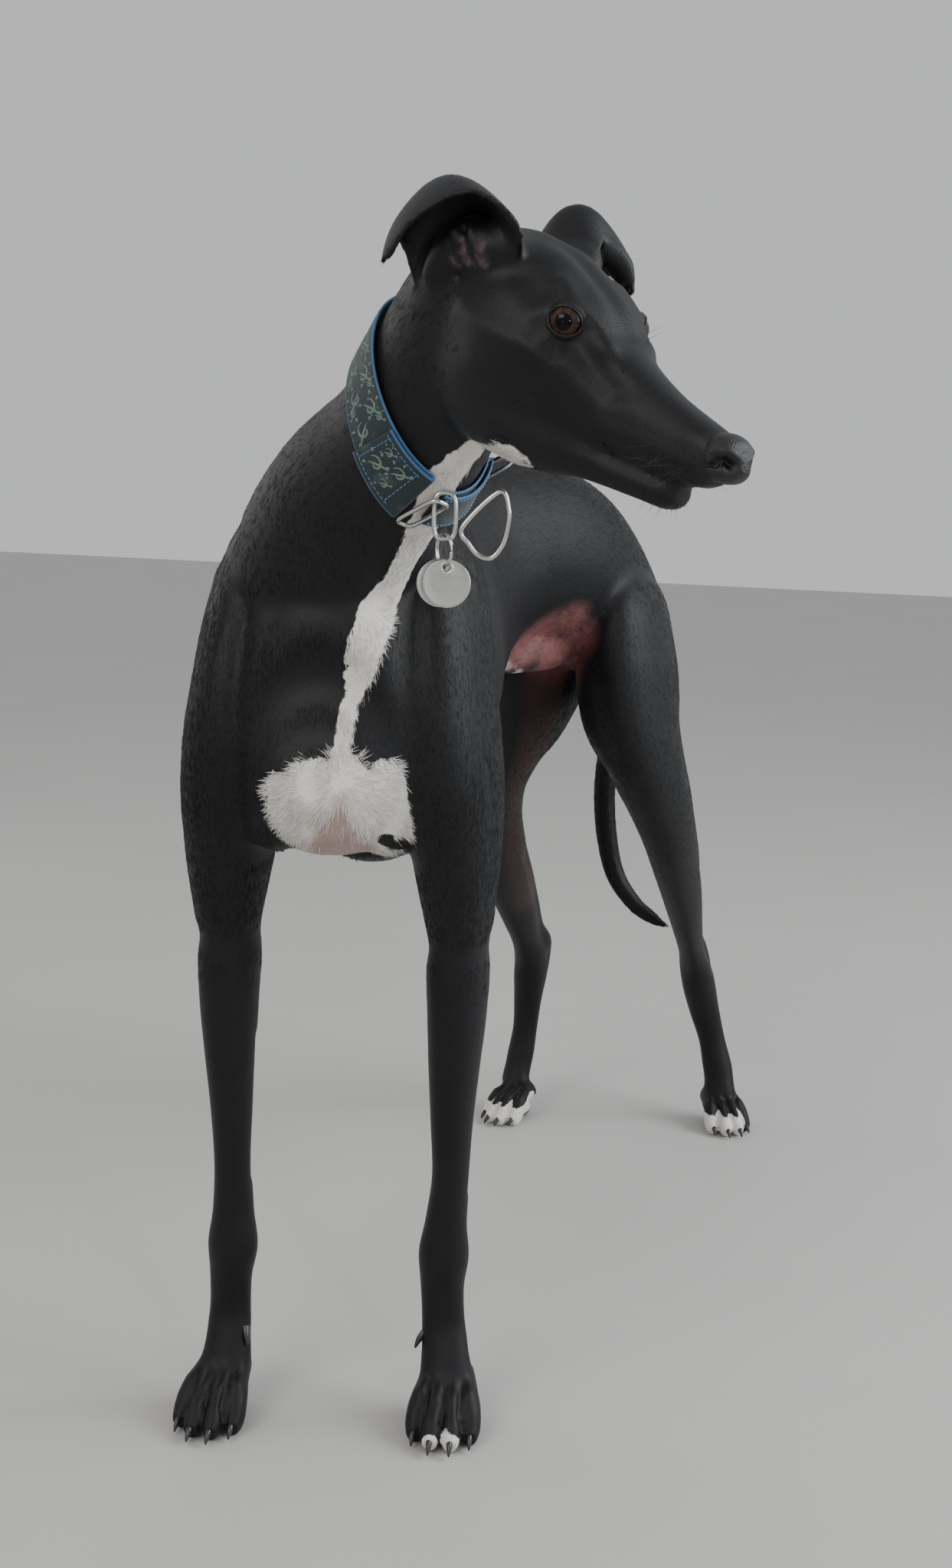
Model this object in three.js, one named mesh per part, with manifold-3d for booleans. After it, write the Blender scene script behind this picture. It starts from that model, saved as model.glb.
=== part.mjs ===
// A greyhound standing still, life size, with its collar and two bare tags.
// Millimetres, +Z up. The dog faces -Y and its left side is towards +X.
import * as THREE from 'three';
import Module from 'manifold-3d';

const wasm = await Module();
wasm.setup();

// Driving sizes
const GAP = 0.3;
const SOLE = 1.6;
const FORE_YAW = 14;

// Where the head is held: the tip of the nose, and how it is turned
const NOSE_TIP = [316, -475, 735];
const HEAD_YAW = 66;
const HEAD_PITCH = 24;
const HEAD_ROLL = 1;

// Colours
const COAT = { color: 0x0d0d10, roughness: 0.45, metalness: 0 };
const SKIN = { color: 0x1a1718, roughness: 0.4, metalness: 0 };
const EYE = { color: 0x2a1208, roughness: 0.05, metalness: 0 };
const WEBBING = { color: 0x16303a, roughness: 0.75, metalness: 0 };
const NICKEL = { color: 0xb9bab8, roughness: 0.25, metalness: 1 };
const TAG = { color: 0xcfd0cc, roughness: 0.35, metalness: 1 };

const model = new THREE.Group();
const V = (p) => new THREE.Vector3(p[0], p[1], p[2]);
const rad = THREE.MathUtils.degToRad;

// A closed solid from points and triangles, turned to face out
function solid(points, triangles) {
  const at = (i) => new THREE.Vector3(points[3 * i], points[3 * i + 1], points[3 * i + 2]);
  let volume = 0;
  for (let i = 0; i < triangles.length; i += 3) {
    const [a, b, c] = [at(triangles[i]), at(triangles[i + 1]), at(triangles[i + 2])];
    volume += a.dot(b.cross(c));
  }
  const facing = volume < 0 ? triangles.slice().reverse() : triangles;
  return new wasm.Manifold(new wasm.Mesh({
    numProp: 3,
    vertProperties: new Float32Array(points),
    triVerts: new Uint32Array(facing),
  }));
}

// A row between two rows of numbers, on a smooth curve through all of them
function between(rows, t) {
  const i = Math.min(Math.floor(t), rows.length - 2);
  const f = t - i;
  const row = (k) => rows[Math.max(0, Math.min(rows.length - 1, k))];
  const [p, q, r, s] = [row(i - 1), row(i), row(i + 1), row(i + 2)];
  return q.map((value, k) => {
    const bend = (2 * p[k] - 5 * q[k] + 4 * r[k] - s[k]) * f * f;
    const twist = (3 * q[k] - p[k] - 3 * r[k] + s[k]) * f * f * f;
    return value + 0.5 * ((r[k] - p[k]) * f + bend + twist);
  });
}

// One ring of a mass carried along a path. Each row is x, y, z, half width, half size
// towards "up", half size away from it, then squareness above and below (2 is an ellipse).
const wholeRow = (r) => [...r, 2, 2].slice(0, 8);
function ringAt(rows, t, { up, upEnd = up, sides = 12, grow = 0 }) {
  const last = rows.length - 1;
  const row = between(rows, t);
  const along = V(between(rows, Math.min(t + 0.25, last)));
  along.sub(V(between(rows, Math.max(t - 0.25, 0)))).normalize();
  const top = V(up).lerp(V(upEnd), t / last);
  top.addScaledVector(along, -top.dot(along)).normalize();
  const side = new THREE.Vector3().crossVectors(along, top);
  const [, , , width, above, below, squareAbove, squareBelow] = row;
  return Array.from({ length: sides }, (_, j) => {
    const angle = (2 * Math.PI * (j + 0.5)) / sides;
    const [c, s] = [Math.cos(angle), Math.sin(angle)];
    const power = 2 / (s > 0 ? squareAbove : squareBelow);
    const across = Math.sign(c) * Math.abs(c) ** power * (Math.max(width, 0.5) + grow);
    const rise = Math.sign(s) * Math.abs(s) ** power * (Math.max(s > 0 ? above : below, 0.5) + grow);
    return V(row).addScaledVector(side, across).addScaledVector(top, rise);
  });
}

// The closed mass made of such rings
function loft(rows, options) {
  const full = rows.map(wholeRow);
  const { sides = 12, steps = 2 } = options;
  const rings = (full.length - 1) * steps;
  const points = [];
  const triangles = [];
  for (let k = 0; k <= rings; k++) {
    for (const p of ringAt(full, k / steps, options)) points.push(p.x, p.y, p.z);
  }
  points.push(...full[0].slice(0, 3), ...full[full.length - 1].slice(0, 3));
  const count = (rings + 1) * sides;
  for (let k = 0; k < rings; k++) {
    for (let j = 0; j < sides; j++) {
      const a = k * sides + j;
      const b = k * sides + ((j + 1) % sides);
      triangles.push(a, b, b + sides, a, b + sides, a + sides);
    }
  }
  for (let j = 0; j < sides; j++) {
    const next = (j + 1) % sides;
    triangles.push(count, next, j);
    triangles.push(count + 1, rings * sides + j, rings * sides + next);
  }
  return solid(points, triangles);
}

// Sections carried round and joined end to end into a hoop
function sweep(sections) {
  const size = sections[0].length;
  const triangles = [];
  for (let k = 0; k < sections.length; k++) {
    const next = (k + 1) % sections.length;
    for (let j = 0; j < size; j++) {
      const i = (j + 1) % size;
      const [a, b, c, d] = [k * size + j, k * size + i, next * size + i, next * size + j];
      triangles.push(a, b, c, a, c, d);
    }
  }
  return solid(sections.flat().flatMap((p) => [p.x, p.y, p.z]), triangles);
}

// A wire ring: a round wire along a closed flat outline with the given normal
function hoop(outline, normal, radius, sides = 6) {
  const count = outline.length;
  const sections = outline.map((p, k) => {
    const along = outline[(k + 1) % count].clone().sub(outline[(k + count - 1) % count]).normalize();
    const out = new THREE.Vector3().crossVectors(along, normal).normalize();
    return Array.from({ length: sides }, (_, j) => {
      const angle = (2 * Math.PI * j) / sides;
      return p.clone().addScaledVector(out, radius * Math.cos(angle))
        .addScaledVector(normal, radius * Math.sin(angle));
    });
  });
  return sweep(sections);
}

// A curved sheet with a front rim, a middle and a rear rim, each through a few points
function shell(front, middle, rear, thickness, place, { along = 8, across = 5 } = {}) {
  const at = (u, v) => {
    const t = u * (front.length - 1);
    const [f, m, r] = [front, middle, rear].map((line) => V(place(between(line, t))));
    return f.multiplyScalar((1 - v) * (1 - 2 * v))
      .addScaledVector(m, 4 * v * (1 - v)).addScaledVector(r, v * (2 * v - 1));
  };
  const step = 0.01;
  const faces = [-0.5, 0.5].map((half) => {
    const points = [];
    for (let i = 0; i <= along; i++) {
      for (let j = 0; j <= across; j++) {
        const [u, v] = [i / along, j / across];
        const du = at(Math.min(u + step, 1), v).sub(at(Math.max(u - step, 0), v));
        const dv = at(u, v + step).sub(at(u, v - step));
        points.push(at(u, v).addScaledVector(du.cross(dv).normalize(), half * thickness));
      }
    }
    return points;
  });
  const row = across + 1;
  const offset = faces[0].length;
  const triangles = [];
  const quad = (a, b, c, d) => triangles.push(a, b, c, a, c, d);
  for (let i = 0; i < along; i++) {
    for (let j = 0; j < across; j++) {
      const a = i * row + j;
      quad(a, a + 1, a + row + 1, a + row);
      triangles.push(offset + a, offset + a + row + 1, offset + a + 1);
      triangles.push(offset + a, offset + a + row, offset + a + row + 1);
    }
    const [p, q] = [i * row, i * row + across];
    quad(p, p + row, offset + p + row, offset + p);
    quad(q, offset + q, offset + q + row, q + row);
  }
  for (let j = 0; j < across; j++) {
    const far = along * row + j;
    quad(j, offset + j, offset + j + 1, j + 1);
    quad(far, far + 1, offset + far + 1, offset + far);
  }
  return solid(faces.flat().flatMap((p) => [p.x, p.y, p.z]), triangles);
}

// A three.js geometry as a solid
function fromGeometry(geometry) {
  const flat = geometry.index ? geometry.toNonIndexed() : geometry;
  const position = flat.getAttribute('position');
  const seen = new Map();
  const points = [];
  const triangles = [];
  for (let i = 0; i < position.count; i++) {
    const p = [position.getX(i), position.getY(i), position.getZ(i)];
    const key = p.map((value) => Math.round(value * 1000)).join();
    if (!seen.has(key)) {
      seen.set(key, points.length / 3);
      points.push(...p);
    }
    triangles.push(seen.get(key));
  }
  const kept = [];
  for (let i = 0; i < triangles.length; i += 3) {
    const [a, b, c] = triangles.slice(i, i + 3);
    if (a !== b && b !== c && c !== a) kept.push(a, b, c);
  }
  return solid(points, kept);
}

// A ball squeezed to three half sizes, turned and placed
function ball(place, [rx, ry, rz], turn = new THREE.Matrix4(), segments = 12) {
  const geometry = new THREE.SphereGeometry(1, segments, Math.ceil(segments * 0.6));
  geometry.rotateX(Math.PI / 2);
  geometry.scale(rx, ry, rz);
  geometry.applyMatrix4(turn);
  geometry.translate(...place);
  return fromGeometry(geometry);
}

function box(place, size, turn = new THREE.Matrix4()) {
  const geometry = new THREE.BoxGeometry(...size);
  geometry.applyMatrix4(turn);
  geometry.translate(...place);
  return fromGeometry(geometry);
}

function node(name, body, finish) {
  const mesh = bulk(body).getMesh();
  const geometry = new THREE.BufferGeometry();
  const stride = mesh.numProp;
  const position = new Float32Array((mesh.vertProperties.length / stride) * 3);
  for (let i = 0; i < position.length / 3; i++) {
    for (let k = 0; k < 3; k++) position[3 * i + k] = mesh.vertProperties[stride * i + k];
  }
  geometry.setAttribute('position', new THREE.BufferAttribute(position, 3));
  geometry.setIndex(new THREE.BufferAttribute(new Uint32Array(mesh.triVerts), 1));
  geometry.computeVertexNormals();
  const part = new THREE.Mesh(geometry, new THREE.MeshStandardMaterial(finish));
  part.name = name;
  model.add(part);
}

// The gentle sideways bend of the back, as x at a place along the body
const BACK = [
  [-400, 10], [-300, -15], [-200, -42], [-100, -64], [-40, -75], [20, -72], [80, -52], [140, -26], [200, -9],
  [300, 3], [400, 8],
];
function spineX(y) {
  const k = BACK.findIndex(([end]) => y < end) - 1;
  const [[y0, x0], [y1, x1]] = [BACK[k], BACK[k + 1]];
  return x0 + ((x1 - x0) * (y - y0)) / (y1 - y0);
}

// Chest, loin and rump: y, level of the widest place, half width, rise, drop, squareness
const TRUNK = [
  [-391, 524, 14, 22, 20],
  [-384, 522, 36, 50, 42],
  [-366, 521, 58, 88, 63],
  [-335, 528, 74, 126, 82],
  [-295, 540, 87, 156, 103, 2, 1.9],
  [-250, 556, 93, 150, 130, 2, 1.8],
  [-200, 562, 94, 142, 148, 2, 1.8],
  [-140, 567, 95, 137, 164, 2, 1.7],
  [-80, 576, 88, 136, 178, 2, 1.7],
  [-20, 600, 77, 124, 142, 2, 1.7],
  [40, 624, 67, 110, 92, 1.9, 1.7],
  [95, 640, 63, 97, 78, 1.9, 1.7],
  [145, 638, 61, 90, 78, 2, 1.8],
  [195, 620, 60, 85, 75],
  [245, 597, 60, 70, 71],
  [292, 576, 52, 49, 58],
  [328, 558, 38, 28, 42],
  [352, 545, 14, 12, 16],
].map(([y, z, ...sizes]) => [spineX(y), y, z, ...sizes]);

// The neck, from inside the chest up to the back of the head
const NECK = [
  [-42, -245, 600, 78, 100, 92],
  [-28, -292, 655, 74, 86, 84],
  [4, -324, 702, 63, 70, 73],
  [50, -349, 743, 52, 60, 64],
  [86, -370, 784, 50, 57, 60],
  [116, -384, 820, 48, 52, 56],
  [140, -394, 846, 42, 40, 44],
];
const NAPE_LOW = [0, 0.6, 0.8];
const NAPE_HIGH = [-0.75, 0.45, 0.5];
const NECK_SHAPE = { up: NAPE_LOW, upEnd: NAPE_HIGH, sides: 14 };

// Upper foreleg from the shoulder blade to the elbow, in the fore frame:
// sideways from the mid line, back, height, half width, front, back
const SHOULDER = [
  [36, 58, 706, 14, 26, 32],
  [58, 40, 670, 30, 54, 58],
  [69, 20, 616, 35, 68, 72],
  [75, 5, 560, 37, 72, 78],
  [81, -2, 508, 38, 66, 78],
  [85, 0, 455, 34, 50, 66],
  [87, 2, 412, 28, 36, 50],
  [87, 4, 385, 23, 28, 40],
  [88, 4, 356, 19, 22, 26],
];

// The forequarters stand turned by FORE_YAW about this place
const FORE_X = -15;
const FORE_Y = -300;
function fore(sideways, back) {
  const [c, s] = [Math.cos(rad(FORE_YAW)), Math.sin(rad(FORE_YAW))];
  return [FORE_X + sideways * c - back * s, FORE_Y + sideways * s + back * c];
}

// Forelegs from the elbow to the ankle: x, y, z, half width, front, back
const FORELEG = {
  right: [
    [-99, -318, 392, 20, 24, 34],
    [-100, -318, 366, 24, 26, 34],
    [-100, -318, 330, 23, 26, 26],
    [-99, -318, 290, 20.5, 23, 21],
    [-98, -317, 245, 17.5, 20, 18],
    [-98, -316, 200, 15.5, 17, 16],
    [-98, -316, 162, 17, 16, 15],
    [-98, -317, 134, 20.5, 17, 18],
    [-101, -315, 106, 17.5, 14, 17],
    [-101, -316, 76, 17.5, 13, 14],
    [-98, -326, 48, 21, 15, 14],
    [-96, -336, 30, 20, 12, 14],
  ],
  left: [
    [70, -277, 392, 20, 24, 34],
    [69, -277, 366, 24, 26, 34],
    [69, -277, 330, 23, 26, 26],
    [67, -275, 290, 20.5, 23, 21],
    [65, -272, 245, 17.5, 20, 18],
    [64, -270, 200, 15.5, 17, 16],
    [60, -268, 162, 17, 16, 15],
    [58, -267, 134, 20.5, 17, 18],
    [56, -264, 106, 18, 14, 17],
    [58, -265, 76, 18, 13, 14],
    [64, -274, 48, 21.5, 15, 14],
    [68, -283, 30, 20, 12, 14],
  ],
};

// Hind legs from the hip to the ankle
const HINDLEG = {
  right: [
    [-26, 226, 640, 12, 34, 40],
    [-42, 220, 600, 32, 74, 86],
    [-58, 210, 545, 41, 90, 96],
    [-72, 198, 492, 42, 86, 84],
    [-86, 192, 450, 37, 73, 66],
    [-98, 201, 410, 32, 58, 51],
    [-104, 222, 370, 27, 46, 44],
    [-105, 252, 330, 24, 36, 38],
    [-104, 288, 290, 21, 28, 32],
    [-106, 325, 250, 18, 23, 28],
    [-110, 357, 215, 15.5, 18, 27],
    [-114, 381, 187, 17.5, 18, 34],
    [-118, 394, 160, 18.5, 19, 24],
    [-122, 400, 130, 17, 15, 17],
    [-124, 400, 95, 15, 14, 14],
    [-127, 392, 58, 17, 15, 15],
    [-129, 380, 34, 18, 13, 14],
  ],
  left: [
    [26, 232, 640, 12, 34, 40],
    [34, 230, 600, 34, 78, 92],
    [35, 226, 545, 48, 92, 100],
    [43, 222, 492, 48, 86, 88],
    [57, 228, 450, 39, 73, 69],
    [67, 244, 410, 33, 58, 54],
    [73, 266, 370, 28, 47, 45],
    [74, 296, 330, 25, 38, 38],
    [73, 330, 290, 22, 30, 32],
    [70, 366, 250, 18, 24, 28],
    [67, 398, 215, 15.5, 18, 27],
    [65, 424, 187, 18, 18, 34],
    [67, 438, 160, 19, 19, 24],
    [72, 447, 130, 17.5, 15, 17],
    [81, 452, 95, 15.5, 14, 14],
    [91, 448, 58, 18, 15, 15],
    [97, 438, 34, 18, 13, 14],
  ],
};

// Paws: where the toes end, which way they point (degrees from -Y towards +X), and size
const PAWS = {
  front_right: { tip: [-89, -393], yaw: 9, size: 1.02 },
  front_left: { tip: [84.5, -336], yaw: 16, size: 1.04 },
  hind_right: { tip: [-136, 319], yaw: -16, size: 0.9 },
  hind_left: { tip: [128, 398], yaw: 37, size: 0.94 },
};
const TOES = [-1, -0.36, 0.36, 1];
const TOE_SPREAD = 19;
const PAW_LENGTH = 58;

// The tail hangs, then swings out to the left at its end
const TAIL = [
  [2, 322, 574, 18, 18, 18],
  [2, 347, 554, 17, 17, 17],
  [-6, 374, 515, 14, 14, 14],
  [-20, 390, 470, 13, 13, 13],
  [-34, 398, 425, 12.5, 12.5, 12.5],
  [-39, 401, 375, 12.5, 12.5, 12.5],
  [-34, 400, 325, 12, 12, 12],
  [-22, 398, 285, 11, 11, 11],
  [0, 396, 257, 9.5, 9.5, 9.5],
  [22, 394, 243, 7.5, 7.5, 7.5],
  [38, 393, 236, 3, 3, 3],
];

// Head, along its own axis: back from the nose, level of the widest place,
// half width, rise, drop, squareness above and below
const SKULL = [
  [13, -3, 14, 13, 15, 2.3, 2.5],
  [22, -4, 16.5, 16, 20, 2.4, 2.7],
  [40, -6, 19, 20, 23, 2.4, 2.8],
  [64, -8, 22, 25, 24, 2.3, 2.7],
  [90, -8, 27, 31, 30, 2.2, 2.5],
  [112, -6, 34, 36, 40, 2.2, 2.3],
  [134, -3, 44, 46, 52, 2.3, 2.2],
  [156, 0, 51, 52, 64, 2.1, 2.1],
  [180, 2, 53, 57, 70, 2.1, 2],
  [204, 3, 50, 56, 70],
  [226, 3, 43, 50, 62],
  [242, 2, 31, 38, 46],
  [250, 2, 15, 18, 22],
];
const JAW = [
  [33, -32, 9, 6, 8],
  [40, -34, 15, 9, 12, 2.2, 2.2],
  [58, -37, 19, 12, 12, 2.2, 2.2],
  [82, -39, 23, 14, 14, 2.2, 2.2],
  [106, -40, 29, 22, 18, 2.2, 2.2],
  [130, -42, 38, 32, 24, 2.2, 2.2],
  [156, -42, 45, 40, 30],
  [182, -38, 47, 40, 36],
  [206, -34, 42, 36, 34],
];
const NOSE = [
  [0, 2, 5, 5, 5],
  [2, 1, 9, 8.5, 8.5, 2.4, 2.4],
  [5, 0, 13, 11.5, 11.5, 2.4, 2.4],
  [9, -1, 15, 13, 13, 2.4, 2.4],
  [16, -2, 15, 13.5, 13.5, 2.4, 2.4],
];
const NOSE_LENGTH = 11;
const MOUTH_CORNER = 97;

// Eyes: how far out, back and up their centres sit
const EYE_PLACE = [28, 136, 27];
const EYE_RADIUS = 11.2;
const LID = 2;
const EYE_LOOK = [0.82, -0.52, 0.12];

// Ears as curved sheets: front rim, back of the cup and rear rim, each from inside
// the skull to the tip, for the right ear; out, back and up from the nose
const EAR_THICKNESS = 2.8;
const EARS = {
  right: {
    front: [[-26, 182, 28], [-36, 178, 46], [-50, 180, 68], [-68, 204, 74], [-82, 226, 48], [-84, 234, 22]],
    middle: [[-18, 210, 26], [-28, 224, 36], [-38, 238, 60], [-54, 248, 67], [-75, 246, 44], [-85, 238, 19]],
    rear: [[-30, 234, -6], [-44, 244, 0], [-54, 254, 18], [-64, 256, 28], [-75, 250, 24], [-83, 240, 16]],
  },
  left: {
    front: [[28, 186, 30], [36, 184, 46], [46, 196, 58], [58, 202, 60], [70, 192, 48], [72, 182, 36]],
    middle: [[18, 212, 26], [28, 226, 40], [40, 234, 64], [58, 226, 70], [75, 202, 54], [75, 183, 35]],
    rear: [[30, 232, -4], [46, 238, 6], [60, 238, 24], [74, 226, 34], [79, 206, 36], [74, 186, 32]],
  },
};

// Collar: its middle in the neck, the way it faces along the neck, the way to the
// throat, and its band and cinch loop, both laid on the neck
const COLLAR_PLACE = [70.8, -361, 766.7];
const COLLAR_AIM = [0.863, -0.326, 0.387];
const COLLAR_THROAT = [0.285, -0.314, -0.906];
const BAND = { width: 38, inside: 3, outside: 5.6, open: [-72, 18] };
const CINCH = { width: 24, inside: 3.4, outside: 7.6, from: -55.5, to: 1.5 };
const RINGS = [['right', 10], ['left', -64]];
const RING_HALF = [6.6, 19];
const WIRE = 1.5;

// What hangs at the throat, in an upright plane: sideways, out, up from HANG_PLACE
const HANG_PLACE = [95, -391, 718];
const HANG_YAW = 21.8;
const LINK = { at: [5, 9, -19], half: [7, 14.5] };
const SPLIT_RING = { at: [5, 9, -40.2], radius: 10.5, wire: 1.1, turn: -62 };
const TAGS = [['front', 7, 11.2], ['rear', 3, 6.8]];
const TAG_SIZE = { radius: 15.5, thick: 1.4, hole: 2.8, holeUp: 10.6 };
const D_RING = [
  [16.4, -25.7], [20.8, -36.5], [27.9, -44], [35.4, -44.6], [41.6, -37.5], [45, -27], [45.7, -13.9], [39.5, -2.8],
];
const D_RING_OUT = 12;

const headTurn = new THREE.Matrix4().makeRotationFromEuler(
  new THREE.Euler(rad(HEAD_PITCH), rad(HEAD_ROLL), rad(HEAD_YAW), 'ZXY'),
);
const headAim = (d) => V(d).applyMatrix4(headTurn);
const headPoint = (p) => headAim(p).add(V(NOSE_TIP)).toArray();
const headLoft = (rows, options) => loft(
  rows.map(([back, level, ...sizes]) => [...headPoint([0, back, level]), ...sizes]),
  { up: headAim([0, 0, 1]).toArray(), ...options },
);

// Joining, parting and keeping
const join = (parts) => parts.reduce((all, part) => all.add(part));
const bulk = (body) => body.decompose().reduce((a, b) => (a.volume() > b.volume() ? a : b));
let rest;
function carve(name, place, size, turn, within) {
  const region = (grow) => {
    const block = box(place, size.map((length) => length + 2 * grow), turn);
    return within ? block.intersect(within(grow)) : block;
  };
  node(name, rest.intersect(region(0)), COAT);
  rest = rest.subtract(region(GAP));
}

// One toe with its pad and claw, in the paw's frame: sideways, forwards, height
function toe(side, size, place) {
  const outer = Math.abs(side) > 0.5 ? -11 : 0;
  const s = side * TOE_SPREAD;
  const rows = [
    [s * 0.5, -22, 34, 9, 11, 10],
    [s * 0.75, 4, 32, 10, 11, 12],
    [s * 0.95, 24 + outer * 0.7, 25, 9.5, 10, 12],
    [s * 1.05, 38 + outer, 13, 9, 10, 14.5],
    [s * 1.08, 47 + outer, 9, 6, 6, 9],
  ].map(([a, f, z, w, t, b]) => [...place(a, f, z), w * size, t * size, b * size]);
  const claw = [
    [s * 1.06, 40 + outer, 13, 3.4, 3.6, 3.6],
    [s * 1.1, 49 + outer, 10, 2.5, 2.8, 2.8],
    [s * 1.11, 56 + outer, 4.6, 1, 1, 1],
  ].map(([a, f, z, w, t, b]) => [...place(a, f, z), w, t, b]);
  return join([
    loft(rows, { up: [0, 0, 1], sides: 6, steps: 1 }),
    loft(claw, { up: [0, 0, 1], sides: 4, steps: 1 }),
  ]);
}

function paw({ tip, yaw, size }) {
  const forward = [Math.sin(rad(yaw)), -Math.cos(rad(yaw))];
  const left = [Math.cos(rad(yaw)), Math.sin(rad(yaw))];
  const place = (a, f, z) => {
    const reach = (f - PAW_LENGTH) * size;
    return [tip[0] + forward[0] * reach + left[0] * a * size,
      tip[1] + forward[1] * reach + left[1] * a * size, z * size];
  };
  const turn = new THREE.Matrix4().makeRotationZ(rad(yaw));
  const pad = ball(place(0, -2, 13), [17 * size, 16 * size, 15 * size], turn, 9);
  return join([...TOES.map((side) => toe(side, size, place)), pad]);
}

// The whole body in one piece, before it is parted
const SIDES = [[-1, 'right'], [1, 'left']];
const shoulder = (hand, grow = 0) => loft(
  SHOULDER.map(([s, f, z, ...sizes]) => [...fore(hand * s, f), z, ...sizes]),
  { up: [Math.sin(rad(FORE_YAW)), -Math.cos(rad(FORE_YAW)), 0], sides: 12, grow },
);
const foreleg = (side, grow = 0) => loft(FORELEG[side], { up: [0.15, -1, 0], sides: 10, steps: 1, grow });
const HIND_AIM = { right: [-0.3, -1, 0], left: [0.15, -1, 0] };
const hindleg = (side, grow = 0) => loft(HINDLEG[side], { up: HIND_AIM[side], sides: 12, steps: 1, grow });
const breasts = SIDES.map(([hand]) => ball([...fore(hand * 40, -30), 536], [38, 46, 84], undefined, 12));
const dewclaws = [[-80, -324, 62, 1], [40, -275, 62, -1]].map(([x, y, z, out]) => loft([
  [x - 5 * out, y + 4, z + 6, 4, 5, 5],
  [x - 2 * out, y, z + 1, 3, 4, 4],
  [x, y - 3, z - 5, 1, 1.4, 1.4],
], { up: [0, -1, 0.4], sides: 6, steps: 1 }));

// The sheath under the belly of a male dog
const SHEATH = [
  [-4, 186, 560, 14, 30, 14],
  [-14, 140, 553, 15, 28, 14],
  [-22, 104, 552, 14, 28, 13],
  [-30, 76, 551, 11, 24, 11],
  [-36, 58, 551, 5, 12, 6],
];

const trunk = (grow) => loft(TRUNK, { up: [0, 0, 1], sides: 16, grow });
const neck = (grow) => loft(NECK, { ...NECK_SHAPE, grow });
const skull = (grow) => headLoft(SKULL, { sides: 18, grow });

rest = join([
  trunk(0), neck(0), ...breasts, ...dewclaws,
  ...SIDES.flatMap(([hand, side]) => [shoulder(hand), foreleg(side), hindleg(side)]),
  loft(SHEATH, { up: [0, 0, 1], sides: 8 }), skull(0), headLoft(JAW, { sides: 10 }),
  headLoft(NOSE, { sides: 12, steps: 1 }),
  ...Object.values(PAWS).map(paw),
]);

// Eyes, with the lids as a thin ball over each, opened along the look
const eyes = [-1, 1].map((hand) => {
  const place = headPoint([hand * EYE_PLACE[0], EYE_PLACE[1], EYE_PLACE[2]]);
  const look = headAim([hand * EYE_LOOK[0], EYE_LOOK[1], EYE_LOOK[2]]).normalize();
  const across = new THREE.Vector3().crossVectors(headAim([0, 0, 1]), look).normalize();
  const turn = new THREE.Matrix4().makeBasis(across, new THREE.Vector3().crossVectors(look, across), look);
  const globe = (radius, segments) => ball(place, [radius, radius, radius], turn, segments);
  const almond = new THREE.Shape();
  almond.moveTo(-10.5, 0);
  almond.quadraticCurveTo(0, 15, 10.5, 0);
  almond.quadraticCurveTo(0, -14, -10.5, 0);
  const opening = new THREE.ExtrudeGeometry(almond, { depth: 24, bevelEnabled: false, curveSegments: 4 });
  opening.applyMatrix4(turn);
  opening.translate(...place);
  return { hand, globe, opening: fromGeometry(opening) };
});
for (const { globe, opening } of eyes) {
  rest = rest.add(globe(EYE_RADIUS + LID, 12)).subtract(globe(EYE_RADIUS + GAP, 12)).subtract(opening);
}
for (const hand of [-1, 1]) {
  rest = rest.subtract(ball(headPoint([hand * 12.5, 4, -1.5]), [4.5, 7, 3.4], headTurn, 6));
}
rest = rest.subtract(box([0, 0, SOLE - 50], [2000, 2000, 100]));

// Parting the head: nose, lower jaw, ears, then the rest of the head
const slope = new THREE.Matrix4().makeRotationX(rad(-4));
carve('nose', headPoint([0, NOSE_LENGTH - 30, 0]), [80, 60, 80], headTurn);
carve('lower_jaw', headPoint([0, MOUTH_CORNER - 60, -58]), [90, 120, 70],
  headTurn.clone().multiply(slope));
const skullBox = [headPoint([0, 102, 0]), [200, 236, 260]];
carve('head', ...skullBox, headTurn);
for (const hand of ['right', 'left']) {
  const { front, middle, rear } = EARS[hand];
  const ear = shell(front, middle, rear, EAR_THICKNESS, headPoint)
    .subtract(skull(GAP)).subtract(neck(GAP));
  node(`ear_${hand}`, ear, COAT);
}
for (const { hand, globe } of eyes) node(hand < 0 ? 'eye_right' : 'eye_left', globe(EYE_RADIUS, 12), EYE);

// Neck, above a slanting cut at its base
const neckCut = ringAt(NECK.map(wholeRow), 1.7, NECK_SHAPE);
const neckMid = neckCut.reduce((sum, p) => sum.add(p), new THREE.Vector3()).divideScalar(neckCut.length);
const neckUp = V(between(NECK, 2.2)).sub(V(between(NECK, 1.2))).normalize();
const neckTurn = new THREE.Matrix4().makeRotationFromQuaternion(
  new THREE.Quaternion().setFromUnitVectors(new THREE.Vector3(0, 0, 1), neckUp),
);
carve('neck', neckMid.clone().addScaledVector(neckUp, 150).toArray(), [300, 300, 300], neckTurn,
  (grow) => neck(6 + grow).add(skull(6 + grow)).add(headLoft(JAW, { sides: 10, grow: 6 + grow })));

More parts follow.
